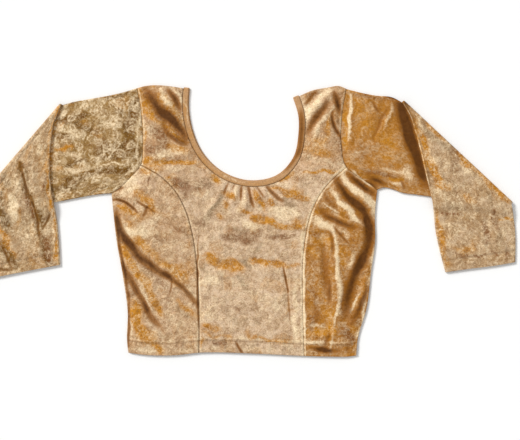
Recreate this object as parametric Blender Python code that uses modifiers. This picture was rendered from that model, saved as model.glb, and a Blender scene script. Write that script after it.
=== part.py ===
"""A choli blouse laid flat and face up, as its sewn pieces: a front in three panels, a back,
two sleeves folded down at the elbow and one binding round the neck.

The tables are in millimetres on the laid blouse: x from the middle of the hem to the right as
seen from above, y up to the neck, z up from the surface that it lies on. The scene is in metres,
with its origin under the middle of the whole blouse.
"""

import math
from collections import namedtuple

import bmesh
import bpy
import numpy as np

COLLECTION = "choli_blouse"
MM = 0.001
BLOUSE_MIDDLE = (-11.64, 191.72)

# Cloth and levels, in millimetres
WALL = 1.3
SEAM_GAP = 0.3
LAYER_GAP = 0.8
FRONT_UNDER = WALL + LAYER_GAP
EDGE_UNDER = WALL + SEAM_GAP
LAID_HEIGHT = 2 * WALL + LAYER_GAP
HALF_SEAM = SEAM_GAP / 2

# The front stands a little off the back, so that its folds can dip as well as rise
FRONT_LOFT = 2.4
LOFT_RUN = 24.0
EDGE_RUN = 9.0
HEM_DEPTH = 17.0
HEM_RISE = 0.5
HEM_BLEND = 5.0
DEEPEST = -0.35

# Neck binding
BINDING_WIDTH = 7.5
BINDING_THICK = 1.4
BINDING_LOW = BINDING_THICK / 2
BINDING_TURN = 1.05
BACK_NECK_SHOWS = 1.5
BINDING_ROUND = 0.45

# Sleeves
SLEEVE_LOFT = 1.6
ELBOW_CLEAR = 0.5
ELBOW_AXIS = LAID_HEIGHT + ELBOW_CLEAR
DROP_START = 4.0
DROP_RUN = 26.0
COVER_CLEAR = 5.0
COVER_RUN = 18.0
CUFF_RISE = 0.4
CUFF_FADE = 0.8

# Numbers of rows, columns and rings
CENTRE_ROWS = 22
NECK_ROWS = 20
PRINCESS_ROWS = 30
STRAP_CHORDS = 6
UNDERARM_CHORDS = 4
CHORD_SPLITS = 2
HALF_COLUMNS = 9
BACK_CENTRE_ROWS = 14
BACK_COLUMNS = 5
UPPER_RINGS = 10
ELBOW_RINGS = 6
LOWER_RINGS = 12
EDGE_ANGLES = (90, 40, 0, -40, -90)
BINDING_TURNS = 4
BULGE_SHARE = 0.2
SHARP_ANGLE = 40

# Seam and edge lines. Each runs upwards or from the body outwards.
SIDE_SEAM = {
    "left": ((-173, 5), (-175, 22), (-174, 60), (-181, 114), (-190, 165), (-195, 210), (-197, 231)),
    "right": ((150, 1), (152.5, 26), (164.5, 67), (171, 119), (177, 165), (176.5, 200), (180, 236)),
}
PRINCESS_SEAM = {
    "left": ((-73, 5), (-73, 78), (-76, 129), (-82, 172), (-92, 207), (-106, 233), (-124, 252), (-156, 271)),
    "right": ((76, 0.5), (74, 78), (75, 147), (79, 176), (87, 206), (103, 236), (136, 268)),
}
ARMHOLE = {
    "left": ((-161, 380), (-155, 345), (-153, 300), (-156, 271), (-169, 255), (-184, 240), (-197, 231)),
    "right": ((136, 379), (130, 345), (129, 300), (136, 268), (151, 256), (166, 246), (180, 236)),
}
SHOULDER = {
    "left": ((-161, 380), (-148, 383.5), (-106, 383), (-96, 381.5)),
    "right": ((136, 379), (126, 383), (110, 381), (87, 376.5), (70, 369)),
}
HEM = ((-173, 5), (-150, 2), (-106, 1.5), (-73, 5), (0, 4), (76, 0.5), (113, -0.5), (137, -0.5), (150, 1))
NECK = (
    (-87.5, 379), (-88.5, 350), (-83, 320), (-68.5, 288), (-38, 259.5),
    (0, 248), (41, 257.5), (62.5, 282.5), (69.5, 315), (69.5, 340), (62, 366),
)
HEM_MIDDLE = HEM[4]
NECK_LOWEST = 5
JUNCTION = 3

Sleeve = namedtuple("Sleeve", "over under fold inner outer cuff")
SLEEVES = {
    "left": Sleeve(
        over=((-161, 380), (-185, 373), (-231, 364), (-253, 360), (-266.5, 356)),
        under=((-197, 231), (-219, 229), (-242, 225), (-276, 218.5), (-334, 212), (-397, 204.5)),
        fold=((-266.5, 356), (-397, 204.5)),
        inner=((-266.5, 356), (-276, 335), (-283, 293), (-282.5, 243), (-275, 199), (-270, 129.5)),
        outer=((-397, 204.5), (-391, 183), (-384, 158), (-370, 110)),
        cuff=((-270, 129.5), (-313, 121.5), (-370, 110)),
    ),
    "right": Sleeve(
        over=((136, 379), (155, 374), (178, 369.5), (201, 367), (214.5, 360)),
        under=((180, 236), (190, 239), (201, 237), (214, 232), (235, 229), (300, 221), (369, 215.5)),
        fold=((214.5, 360), (369, 215.5)),
        inner=((214.5, 360), (225, 342), (233, 318), (250, 249), (258, 216), (263, 175), (276.5, 119)),
        outer=((369, 215.5), (374, 190), (375.5, 133.5)),
        cuff=((276.5, 119), (315, 124.5), (340, 127.5), (375.5, 133.5)),
    ),
}

# Folds, each along a curve of three points: how high it stands, or how deep it lies if negative,
# how wide it is to one side, and how much steeper its right-hand side is
Fold = namedtuple("Fold", "start middle end height width lean")
FRONT_FOLDS = {
    # Left side panel
    "left deep": Fold((-191, 190), (-143, 125), (-76, 74), -2.3, 7, 0),
    "left upper ridge": Fold((-185, 207), (-131, 138), (-78, 92), 1.8, 9, 0),
    "left middle ridge": Fold((-187, 160), (-158, 102), (-117, 37), 2.0, 8, 0.2),
    "left low": Fold((-181, 125), (-160, 84), (-128, 40), -2.0, 6, 0),
    "left low ridge": Fold((-177, 101), (-167, 54), (-150, 22), 1.3, 7, 0),
    "left underarm": Fold((-194, 222), (-180, 217), (-163, 204), -1.4, 4.5, 0),
    "left underarm ridge": Fold((-192, 228), (-171, 228), (-143, 215), 1.0, 5, 0),
    "left bust": Fold((-192, 204), (-171, 184), (-143, 168), 1.1, 7, 0),
    "left pressed": Fold((-109, 102), (-106, 54), (-106, 14), 1.0, 3.5, 0),
    # Centre panel
    "chest left": Fold((-150, 273), (-114, 274), (-73, 279), -1.2, 4, 0),
    "chest left ridge": Fold((-143, 282), (-111, 284), (-75, 291), 1.1, 6, 0),
    "gather 1": Fold((-37, 240), (-46, 224), (-64, 200), 1.5, 4.5, 0),
    "gather 2": Fold((-22, 240), (-23, 226), (-29, 208), 1.2, 4, 0),
    "gather 3": Fold((-7, 239), (-6, 225), (-7, 205), 1.5, 4, 0),
    "gather 4": Fold((4, 239), (9, 223), (14, 202), 1.2, 4, 0),
    "gather 5": Fold((16, 240), (25, 227), (38, 211), 1.4, 4, 0),
    "gather 6": Fold((31, 244), (45, 231), (64, 219), 1.1, 4.5, 0),
    "bust left": Fold((-69, 159), (-26, 176), (16, 160), 1.3, 9, 0),
    "bust right": Fold((6, 187), (42, 187), (76, 183), 1.0, 7, 0),
    "waist": Fold((-66, 125), (-8, 133), (56, 133), -1.6, 6, 0),
    "waist ridge": Fold((-62, 113), (-8, 120), (50, 121), 1.1, 8, 0),
    "centre crease": Fold((46, 128), (52, 94), (60, 44), -1.3, 4, 0),
    "centre soft 1": Fold((14, 119), (28, 80), (33, 37), 1.1, 9, 0),
    "centre soft 2": Fold((-50, 112), (-40, 80), (-52, 30), 0.9, 10, 0),
    # Right side panel
    "fan 1": Fold((138, 261), (157, 247), (175, 227), -1.6, 4, 0),
    "fan 1 ridge": Fold((137, 261), (151, 238), (173, 206), 1.5, 5, 0),
    "fan 2": Fold((126, 251), (144, 222), (168, 187), -1.9, 5, 0),
    "fan 2 ridge": Fold((119, 241), (134, 211), (156, 191), 1.8, 6, 0),
    "fan 3": Fold((96, 213), (124, 199), (150, 183), -1.6, 5, 0),
    "fan 3 ridge": Fold((90, 202), (110, 184), (134, 181), 1.0, 6, 0),
    "right upright": Fold((113, 172), (123, 115), (119, 30), 1.9, 7, 0),
    "right upright dip": Fold((105, 172), (104, 130), (108, 78), -1.3, 5, 0),
    "right long": Fold((168, 184), (158, 122), (134, 46), -2.3, 8, -0.2),
    "right edge": Fold((174, 158), (166, 108), (147, 44), 1.4, 6, 0),
    "right small": Fold((120, 176), (130, 168), (140, 158), 0.9, 4, 0),
    # Straps
    "left strap deep": Fold((-150, 375), (-129, 345), (-92, 308), -2.2, 6, 0),
    "left strap ridge": Fold((-133, 380), (-114, 356), (-97, 329), 1.6, 6, 0),
    "left strap short": Fold((-114, 380), (-105, 366), (-99, 348), -1.3, 4, 0),
    "left strap low ridge": Fold((-153, 362), (-140, 339), (-100, 303), 1.3, 6, 0),
    "left strap low": Fold((-124, 327), (-114, 307), (-99, 292), -1.2, 5, 0),
    "right strap ridge": Fold((121, 377), (99, 358), (79, 331), 1.7, 6, 0),
    "right strap deep": Fold((117, 364), (96, 339), (80, 311), -1.7, 5, 0),
    "right strap short": Fold((97, 374), (86, 361), (78, 348), -1.1, 4, 0),
    "right strap low": Fold((111, 350), (95, 324), (80, 298), 1.2, 6, 0),
    "pleat": Fold((119, 362), (119, 341), (130, 305), 1.6, 4, 0.3),
    "pleat dip": Fold((116, 346), (121, 320), (131, 285), -1.6, 4, 0),
}
SLEEVE_FOLDS = {
    "right head": Fold((142, 374), (141, 342), (140, 300), 1.2, 5, 0),
    "right over crease": Fold((190, 355), (181, 332), (173, 307), -1.2, 5, 0),
    "right over ridge": Fold((204, 356), (196, 340), (187, 318), 0.9, 6, 0),
    "right pucker 1": Fold((172, 262), (181, 252), (190, 262), 0.9, 5, 0),
    "right pucker 2": Fold((198, 248), (208, 256), (216, 247), 0.9, 5, 0),
    "right elbow dip": Fold((266, 207), (312, 204), (366, 197), -1.2, 5, 0),
    "right elbow ridge": Fold((266, 217), (312, 216), (352, 210), 1.0, 7, 0),
    "right cuff dip": Fold((340, 208), (336, 176), (349, 140), -1.0, 6, 0),
    "left head": Fold((-165, 364), (-171, 332), (-177, 298), -1.2, 6, 0),
    "left head ridge": Fold((-180, 364), (-190, 332), (-196, 290), 0.9, 8, 0),
    "left over cross": Fold((-214, 267), (-192, 270), (-171, 274), 0.8, 5, 0),
    "left long": Fold((-329, 278), (-313, 229), (-300, 165), -1.5, 5, 0),
    "left long ridge": Fold((-321, 281), (-303, 230), (-292, 165), 1.1, 6, 0),
    "left vee 1": Fold((-365, 236), (-352, 204), (-339, 185), 1.2, 6, 0),
    "left vee 2": Fold((-326, 213), (-333, 197), (-339, 185), 0.9, 5, 0),
    "left vee tail": Fold((-359, 187), (-346, 155), (-334, 130), -1.2, 6, 0),
    "left inner band": Fold((-286, 300), (-289, 250), (-284, 150), 0.9, 5, 0),
}
FOLD_STEPS = 12
SAME_POINT = 1e-6
CURVE_STEPS = 10

# Velvet as base colour, roughness and metallic value
CHAMPAGNE = ((0.62, 0.43, 0.22), 0.62, 0.0)
GOLD = ((0.50, 0.28, 0.09), 0.62, 0.0)
TAN = ((0.55, 0.34, 0.14), 0.58, 0.0)


def smooth_step(x):
    """0 up to x = 0, 1 from x = 1, and a smooth rise between."""
    x = np.clip(x, 0.0, 1.0)
    return x * x * (3 - 2 * x)


class Curve:
    """A smooth plan curve through a few points, read by its fraction of length."""

    def __init__(self, points, smooth=True, by_point=False):
        points = np.array(points, float)
        self.line = self.rounded(points) if smooth and len(points) > 2 else points
        steps = np.hypot(*np.diff(self.line, axis=0).T)
        self.length = steps.sum()
        if by_point:
            steps = np.full(len(steps), self.length / len(steps))
        self.at = np.concatenate([[0.0], np.cumsum(steps)])

    @staticmethod
    def rounded(points):
        """Cubic spans whose tangents follow the neighbouring points, wherever they are spaced."""
        gaps = np.hypot(*np.diff(points, axis=0).T)
        slopes = np.diff(points, axis=0) / gaps[:, None]
        tangents = np.empty_like(points)
        weights = gaps[:-1] / (gaps[:-1] + gaps[1:])
        tangents[1:-1] = slopes[:-1] * (1 - weights)[:, None] + slopes[1:] * weights[:, None]
        tangents[0] = 1.5 * slopes[0] - 0.5 * tangents[1]
        tangents[-1] = 1.5 * slopes[-1] - 0.5 * tangents[-2]
        u = np.linspace(0, 1, CURVE_STEPS, endpoint=False)[:, None]
        spans = []
        for i, gap in enumerate(gaps):
            spans.append(
                (2 * u**3 - 3 * u**2 + 1) * points[i]
                + (u**3 - 2 * u**2 + u) * gap * tangents[i]
                + (3 * u**2 - 2 * u**3) * points[i + 1]
                + (u**3 - u**2) * gap * tangents[i + 1]
            )
        return np.concatenate(spans + [points[-1:]])

    def __call__(self, fraction):
        along = np.asarray(fraction, float) * self.length
        return np.stack([np.interp(along, self.at, self.line[:, k]) for k in (0, 1)], axis=-1)

    def normal(self, fraction):
        """The unit plan direction to the left of the way the curve runs."""
        step = 0.5 / self.length
        ahead = self(np.clip(np.asarray(fraction) + step, 0, 1))
        behind = self(np.clip(np.asarray(fraction) - step, 0, 1))
        way = (ahead - behind) / np.linalg.norm(ahead - behind, axis=-1, keepdims=True)
        return np.stack([-way[..., 1], way[..., 0]], axis=-1)

    def beside(self, distance):
        """The same curve moved to its left by a distance."""
        fractions = self.at / self.length
        return Curve(self(fractions) + distance * self.normal(fractions), smooth=False)

    def part(self, start, end):
        """The stretch between two fractions."""
        fractions = np.linspace(start, end, max(3, int(len(self.at) * abs(end - start)) + 2))
        return Curve(self(fractions), smooth=False)

    def stations(self, fractions, aside=0.0):
        """Points at some fractions, moved to the curve's left, which pieces on both sides share."""
        fractions = np.asarray(fractions, float)
        return self(fractions) + aside * self.normal(fractions)

    def fraction_near(self, point):
        away = np.hypot(*(self.line - np.array(point)).T)
        return self.at[int(np.argmin(away))] / self.length


def distance_to(points, line):
    """How far each point lies from a polyline, and how far along the line, as a fraction."""
    shape = points.shape[:-1]
    flat = points.reshape(-1, 1, 2)
    line = line[np.concatenate([[True], np.abs(np.diff(line, axis=0)).max(axis=1) > SAME_POINT])]
    start = line[:-1]
    span = line[1:] - start
    length = np.hypot(*span.T)
    along = np.clip(((flat - start) * span).sum(axis=-1) / length**2, 0, 1)
    offset = flat - (start + along[..., None] * span)
    away = np.hypot(offset[..., 0], offset[..., 1])
    nearest = away.argmin(axis=1)
    rows = np.arange(len(nearest))
    before = np.concatenate([[0], np.cumsum(length)])
    reach = (before[nearest] + along[rows, nearest] * length[nearest]) / before[-1]
    side = np.sign(span[nearest, 0] * offset[rows, nearest, 1] - span[nearest, 1] * offset[rows, nearest, 0])
    return away[rows, nearest].reshape(shape), reach.reshape(shape), side.reshape(shape)


def folds_at(points, folds):
    """The height that the listed folds add at each plan point."""
    total = np.zeros(points.shape[:-1])
    u = np.linspace(0, 1, FOLD_STEPS)[:, None]
    for fold in folds.values():
        start, middle, end = (np.array(p, float) for p in fold[:3])
        handle = 2 * middle - (start + end) / 2
        spine = (1 - u) ** 2 * start + 2 * u * (1 - u) * handle + u**2 * end
        away, reach, side = distance_to(points, spine)
        width = fold.width * (1 + fold.lean * side)
        taper = np.sqrt(np.clip(np.sin(math.pi * (0.04 + 0.92 * reach)), 0, 1))
        total += fold.height * taper * np.exp(-((away / width) ** 2))
    return total


def patch(hem, top, left, right, rows, columns):
    """A grid of plan points between two side curves, with the bulge of the hem and top lines."""
    s = np.linspace(0, 1, rows + 1)[:, None, None]
    t = np.linspace(0, 1, columns + 1)[None, :, None]
    sides = (1 - t) * left(s[:, 0, 0])[:, None] + t * right(s[:, 0, 0])[:, None]

    def bulge(line):
        return line(t[0, :, 0])[None] - ((1 - t) * line(0) + t * line(1))

    near_hem = 1 - smooth_step(s / BULGE_SHARE)
    near_top = smooth_step((s - 1 + BULGE_SHARE) / BULGE_SHARE)
    return sides + near_hem * bulge(hem) + near_top * bulge(top)


def chorded(points, splits=1):
    """A curve read by its points, so that each falls on a row, with each chord split evenly."""
    points = np.asarray(points, float)
    u = np.arange(0, len(points) - 1 + 0.5 / splits, 1 / splits)
    fine = np.stack([np.interp(u, np.arange(len(points)), points[:, k]) for k in (0, 1)], axis=-1)
    return Curve(fine, smooth=False, by_point=True)


SIDE = {name: Curve(points) for name, points in SIDE_SEAM.items()}
PRINCESS = {name: Curve(points) for name, points in PRINCESS_SEAM.items()}
ARM = {name: Curve(points) for name, points in ARMHOLE.items()}
TOP = {name: Curve(points) for name, points in SHOULDER.items()}
HEM_LINE = Curve(HEM)
NECK_LINE = Curve(NECK)
INWARD = {"left": -1, "right": 1}
JUNCTION_AT = {side: ARM[side].fraction_near(ARMHOLE[side][JUNCTION]) for side in INWARD}
STRAP_AT = {side: np.linspace(0, JUNCTION_AT[side], STRAP_CHORDS + 1) for side in INWARD}
UNDERARM_AT = {side: np.linspace(JUNCTION_AT[side], 1, UNDERARM_CHORDS + 1) for side in INWARD}
ARMHOLE_AT = {side: np.concatenate([STRAP_AT[side], UNDERARM_AT[side][1:]]) for side in INWARD}
NECK_BOTTOM = NECK_LINE.fraction_near(NECK[NECK_LOWEST])
NECK_AT = {
    "left": np.linspace(NECK_BOTTOM, 0, NECK_ROWS + 1),
    "right": np.linspace(NECK_BOTTOM, 1, NECK_ROWS + 1),
}
FRONT_EDGE = np.concatenate(
    [
        SIDE["left"].line,
        ARM["left"].line[::-1],
        TOP["left"].line,
        NECK_LINE.beside(-BINDING_WIDTH).line,
        TOP["right"].line[::-1],
        ARM["right"].line,
        SIDE["right"].line[::-1],
    ]
)


def front_under(points):
    """Height of the front's lower face over the surface: loft, folds and the turned hem."""
    edge, _, _ = distance_to(points, FRONT_EDGE)
    hem, _, _ = distance_to(points, HEM_LINE.line)
    loft = FRONT_LOFT * smooth_step(edge / LOFT_RUN) * smooth_step((hem + EDGE_RUN) / (LOFT_RUN + EDGE_RUN))
    folds = folds_at(points, FRONT_FOLDS) * smooth_step(edge / EDGE_RUN)
    relief = np.maximum(loft + folds, DEEPEST * smooth_step(edge / EDGE_RUN))
    seated = EDGE_UNDER + (FRONT_UNDER - EDGE_UNDER) * smooth_step(edge / EDGE_RUN)
    return seated + relief + HEM_RISE * smooth_step((HEM_DEPTH + HEM_BLEND / 2 - hem) / HEM_BLEND)


def add_object(name, bm, material):
    """A named object with its mesh in metres, in the blouse's collection."""
    for vertex in bm.verts:
        vertex.co.x -= BLOUSE_MIDDLE[0]
        vertex.co.y -= BLOUSE_MIDDLE[1]
        vertex.co *= MM
    mesh = bpy.data.meshes.new(name)
    bm.to_mesh(mesh)
    bm.free()
    obj = bpy.data.objects.new(name, mesh)
    bpy.data.collections[COLLECTION].objects.link(obj)
    obj.parent = bpy.data.objects["blouse_origin"]
    mesh.materials.append(material)
    mesh.shade_smooth()
    mesh.set_sharp_from_angle(angle=math.radians(SHARP_ANGLE))
    return obj


def velvet(name, finish):
    colour, roughness, metallic = finish
    material = bpy.data.materials.new(name)
    material.use_nodes = True
    shader = material.node_tree.nodes["Principled BSDF"]
    shader.inputs["Base Color"].default_value = (*colour, 1.0)
    shader.inputs["Roughness"].default_value = roughness
    shader.inputs["Metallic"].default_value = metallic
    return material


def grid_faces(bm, grid):
    """Square faces over a grid of vertices, facing up where columns run to the right."""
    for low, high in zip(grid[:-1], grid[1:]):
        for a, b, c, d in zip(low[:-1], low[1:], high[1:], high[:-1]):
            bm.faces.new((a, b, c, d))


def laid_panel(name, grids, under, material):
    """A flat-lying panel: its lower face as joined grids, extruded straight up by the wall."""
    bm = bmesh.new()
    for plan in grids:
        heights = under(plan)
        grid = [
            [bm.verts.new((x, y, z)) for (x, y), z in zip(row, levels)]
            for row, levels in zip(plan, heights)
        ]
        grid_faces(bm, grid)
    bmesh.ops.remove_doubles(bm, verts=bm.verts, dist=1e-4)
    raised = bmesh.ops.extrude_face_region(bm, geom=bm.faces[:], use_keep_orig=True)
    new_verts = [item for item in raised["geom"] if isinstance(item, bmesh.types.BMVert)]
    bmesh.ops.translate(bm, verts=new_verts, vec=(0, 0, WALL))
    bmesh.ops.recalc_face_normals(bm, faces=bm.faces[:])
    return add_object(name, bm, material)


def neck_halves(outer, neck_aside, hem, rows_below, columns):
    """The two halves of a panel with a neckline, which share the centre line below the neck."""
    lowest = NECK_LINE.stations(NECK_BOTTOM, neck_aside)
    centre = np.linspace(HEM_MIDDLE, lowest, rows_below + 1)
    grids = []
    for side, top in (("left", TOP["left"]), ("right", Curve(TOP["right"].line[::-1], smooth=False))):
        neck = NECK_LINE.stations(NECK_AT[side], neck_aside)
        inner = chorded(np.concatenate([centre, neck[1:]]))
        edges = (outer[side], inner) if side == "left" else (inner, outer[side])
        grids.append(patch(hem[side], top, *edges, rows_below + NECK_ROWS, columns))
    return grids


def hem_between(start, end):
    """The stretch of hem line between the points nearest to two others."""
    return HEM_LINE.part(HEM_LINE.fraction_near(start), HEM_LINE.fraction_near(end))


def princess_points(side, aside):
    return PRINCESS[side].stations(np.linspace(0, 1, PRINCESS_ROWS + 1), aside)


def front_centre(material):
    """The middle front: body between the princess seams, and both straps."""
    outer = {}
    for side, sign in INWARD.items():
        strap = chorded(ARM[side].stations(STRAP_AT[side][::-1], -sign * HALF_SEAM), CHORD_SPLITS)
        seam = princess_points(side, sign * HALF_SEAM)
        outer[side] = chorded(np.concatenate([seam[:-1], strap.line]))
    hem = {
        "left": hem_between(PRINCESS_SEAM["left"][0], HEM_MIDDLE),
        "right": hem_between(HEM_MIDDLE, PRINCESS_SEAM["right"][0]),
    }
    grids = neck_halves(outer, -BINDING_WIDTH - SEAM_GAP, hem, CENTRE_ROWS, HALF_COLUMNS)
    return laid_panel("front_centre", grids, front_under, material)


def front_side(side, material):
    """A side front, from the princess seam to the side seam, up to the armhole."""
    sign = INWARD[side]
    seam_points = princess_points(side, -sign * HALF_SEAM)
    armhole = ARM[side].stations(UNDERARM_AT[side], -sign * HALF_SEAM)
    edge_points = SIDE[side].stations(np.linspace(0, 1, PRINCESS_ROWS + 1))
    # The top corners keep clear of both the seams that meet there
    seam_points[-1] += armhole[0] - PRINCESS[side](1)
    edge_points[-1] = armhole[-1]
    seam = chorded(seam_points)
    edge = chorded(edge_points)
    top = chorded(armhole, CHORD_SPLITS)
    if side == "left":
        top = Curve(top.line[::-1], smooth=False, by_point=True)
        edges = (hem_between(SIDE_SEAM[side][0], PRINCESS_SEAM[side][0]), top, edge, seam)
    else:
        edges = (hem_between(PRINCESS_SEAM[side][0], SIDE_SEAM[side][0]), top, seam, edge)
    plan = patch(*edges, PRINCESS_ROWS, UNDERARM_CHORDS * CHORD_SPLITS)
    return laid_panel("front_side_" + side, [plan], front_under, material)


def back_panel(material):
    """The back, flat on the surface, whose neckline shows a little inside the front's."""
    outer = {}
    rows = BACK_CENTRE_ROWS + NECK_ROWS - STRAP_CHORDS - UNDERARM_CHORDS
    for side, sign in INWARD.items():
        seam = SIDE[side].stations(np.linspace(0, 1, rows + 1))
        armhole = ARM[side].stations(ARMHOLE_AT[side][::-1], -sign * HALF_SEAM)
        outer[side] = chorded(np.concatenate([seam[:-1], armhole]))
    hem = {"left": hem_between(HEM[0], HEM_MIDDLE), "right": hem_between(HEM_MIDDLE, HEM[-1])}
    grids = neck_halves(
        outer, BACK_NECK_SHOWS - BINDING_WIDTH - SEAM_GAP, hem, BACK_CENTRE_ROWS, BACK_COLUMNS
    )
    return laid_panel("back", grids, lambda points: np.zeros(points.shape[:-1]), material)


def ring_profile(columns):
    """The points round a flattened sleeve, as the place of each, how far it is in from its edge
    in millimetres or across the sleeve as a share, and its height."""
    half = LAID_HEIGHT / 2
    rows = []
    for angle in EDGE_ANGLES:
        turn = math.radians(angle)
        rows.append(("over", half * (1 - math.cos(turn)), half + half * math.sin(turn)))
    for share in columns:
        rows.append(("low", share, 0.0))
    for angle in reversed(EDGE_ANGLES):
        turn = math.radians(angle)
        rows.append(("under", half * (1 - math.cos(turn)), half + half * math.sin(turn)))
    for share in reversed(columns):
        rows.append(("high", share, LAID_HEIGHT))
    return rows


def sleeve_patch(first, last, over, under):
    """A function of (s, t) over a sleeve stretch: s from its first to its last section line,
    t from the overarm edge to the underarm edge."""

    def read(s, t):
        ends = (1 - t) * over(s) + t * under(s)
        near = first(t) - ((1 - t) * first(0) + t * first(1))
        far = last(t) - ((1 - t) * last(0) + t * last(1))
        return ends + (1 - s) * near + s * far

    return read


def section_points(read, s, profile):
    """The plan points round one section of a sleeve stretch."""
    width = np.linalg.norm(read(s, 1.0) - read(s, 0.0))
    points = []
    for place, amount, _ in profile:
        share = {"over": amount / width, "under": 1 - amount / width}.get(place, amount)
        points.append(read(s, share))
    return np.array(points)


def sleeve_relief(plan, edges):
    """The loft and folds of a sleeve's upper face, which die out towards some edges."""
    fade = np.ones(len(plan))
    for line in edges:
        fade *= smooth_step(distance_to(plan, line.line)[0] / LOFT_RUN)
    return np.maximum(SLEEVE_LOFT * fade + folds_at(plan, SLEEVE_FOLDS) * np.sqrt(fade), DEEPEST)


def sleeve(side, material):
    """A flattened tube from the armhole, turned over at the elbow to lie on itself, to the cuff."""
    cut = Sleeve(*(Curve(points) for points in SLEEVES[side]))
    sign = INWARD[side]
    armhole = ARM[side].beside(sign * HALF_SEAM)
    upper = sleeve_patch(armhole, cut.fold, cut.over, cut.under)
    lower = sleeve_patch(cut.fold, cut.cuff, cut.inner, cut.outer)
    profile = ring_profile(list(ARMHOLE_AT[side][1:-1]))
    layer = np.array([place for place, _, _ in profile])
    laid = np.array([height for _, _, height in profile])
    rings = []
    # From the armhole: the face that shows is the high one, plain where the lower sleeve covers it
    for i in range(UPPER_RINGS):
        plan = section_points(upper, i / UPPER_RINGS, profile)
        away, _, _ = distance_to(plan, cut.inner.line)
        beyond = np.array([(point - cut.inner(cut.inner.fraction_near(point)))[0] for point in plan]) * sign
        shows = np.where(beyond > 0, 0.0, smooth_step((away - COVER_CLEAR) / COVER_RUN))
        relief = sleeve_relief(plan, (armhole, cut.over, cut.under)) * shows
        rings.append(np.column_stack([plan, laid + np.where(layer == "high", relief, 0.0)]))
    # Round the elbow's crease
    outward = cut.fold.normal(0.5) * sign
    crease = section_points(upper, 1.0, profile)
    reach = ELBOW_AXIS - laid
    for i in range(ELBOW_RINGS + 1):
        turn = math.pi * i / ELBOW_RINGS
        plan = crease + outward * (reach * math.sin(turn))[:, None]
        rings.append(np.column_stack([plan, ELBOW_AXIS - reach * math.cos(turn)]))
    # To the cuff: turned over, so the low face shows, and dropped past the upper sleeve's edge
    lift = 2 * ELBOW_AXIS - LAID_HEIGHT
    for i in range(1, LOWER_RINGS + 1):
        s = i / LOWER_RINGS
        plan = section_points(lower, s, profile)
        edge_y = np.interp(plan[:, 0] * sign, cut.under.line[:, 0] * sign, cut.under.line[:, 1])
        drop = lift * smooth_step((edge_y - plan[:, 1] - DROP_START) / DROP_RUN)
        relief = sleeve_relief(plan, (cut.fold, cut.inner, cut.outer))
        relief *= 1 - smooth_step((s - CUFF_FADE) / (1 - CUFF_FADE))
        relief += CUFF_RISE * smooth_step((s - 1) * LOWER_RINGS / 2 + 1)
        rings.append(
            np.column_stack([plan, 2 * ELBOW_AXIS - laid - drop + np.where(layer == "low", relief, 0.0)])
        )
    obj = add_object("sleeve_" + side, ringed(rings, closed=False), material)
    wall = obj.modifiers.new("wall", "SOLIDIFY")
    wall.thickness = WALL * MM
    wall.offset = -1
    return obj


def ringed(rings, closed):
    """A skin over rings of points, whose last ring meets the first one if it is closed."""
    bm = bmesh.new()
    grid = [[bm.verts.new(point) for point in ring] for ring in rings]
    followers = grid[1:] + grid[:1] if closed else grid[1:]
    for first, second in zip(grid, followers):
        for a, b, c, d in zip(first, first[1:] + first[:1], second[1:] + second[:1], second):
            bm.faces.new((a, b, c, d))
    bmesh.ops.recalc_face_normals(bm, faces=bm.faces[:])
    return bm


def binding_section():
    """The binding's section, across and up from its own middle, with softened corners."""
    half_width = BINDING_WIDTH / 2
    half_thick = BINDING_THICK / 2
    corners = ((1, -1), (1, 1), (-1, 1), (-1, -1))
    points = []
    for across, up in corners:
        flat = (across * (half_width - BINDING_ROUND), up * half_thick)
        wall = (across * half_width, up * (half_thick - BINDING_ROUND))
        points += [flat, wall] if across * up < 0 else [wall, flat]
    return points


def neck_binding(material):
    """One closed band: along the front neckline, over a shoulder, back along the back one."""
    front_mid = BINDING_LOW + 2 * BINDING_TURN
    axis = BINDING_LOW + BINDING_TURN
    front_offset = -BINDING_WIDTH / 2
    back_offset = BACK_NECK_SHOWS - BINDING_WIDTH / 2
    stations = []
    neck_at = np.concatenate([NECK_AT["left"][::-1], NECK_AT["right"][1:]])
    for fraction in neck_at:
        stations.append((fraction, front_offset, 0.0, 0))
    for i in range(1, BINDING_TURNS):
        share = i / BINDING_TURNS
        stations.append((1.0, front_offset + (back_offset - front_offset) * share, math.pi * share, 1))
    for fraction in neck_at[::-1]:
        stations.append((fraction, back_offset, math.pi, 1))
    for i in range(1, BINDING_TURNS):
        share = i / BINDING_TURNS
        stations.append((0.0, back_offset + (front_offset - back_offset) * share, math.pi * (1 - share), -1))
    section = binding_section()
    rings = []
    for fraction, offset, turn, end in stations:
        place = NECK_LINE(fraction)
        aside = NECK_LINE.normal(fraction)
        ahead = np.array([aside[1], -aside[0]]) * (end if end else 1)
        ring = []
        for across, up in section:
            reach = front_mid - axis + up
            plan = place + aside * (offset + across) + ahead * reach * math.sin(turn)
            ring.append((*plan, axis + reach * math.cos(turn)))
        rings.append(ring)
    return add_object("neck_binding", ringed(rings, closed=True), material)


def clear_scene():
    for obj in list(bpy.data.objects):
        bpy.data.objects.remove(obj, do_unlink=True)


def main():
    clear_scene()
    collection = bpy.data.collections.new(COLLECTION)
    bpy.context.scene.collection.children.link(collection)
    origin = bpy.data.objects.new("blouse_origin", None)
    collection.objects.link(origin)
    back_panel(velvet("velvet_back", GOLD))
    front_centre(velvet("velvet_centre", CHAMPAGNE))
    front_side("left", velvet("velvet_side_left", CHAMPAGNE))
    front_side("right", velvet("velvet_side_right", GOLD))
    sleeve("left", velvet("velvet_sleeve_left", CHAMPAGNE))
    sleeve("right", velvet("velvet_sleeve_right", GOLD))
    neck_binding(velvet("velvet_binding", TAN))


main()
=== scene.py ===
"""The looks of a choli blouse laid flat: crushed, embossed stretch velvet in champagne and gold.

The tables are in millimetres on the laid blouse: x from the middle of the hem to the right as
seen from above, y up to the neck, z up from the surface that it lies on. The scene is in metres,
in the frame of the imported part.
"""

import math
from collections import namedtuple

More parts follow.
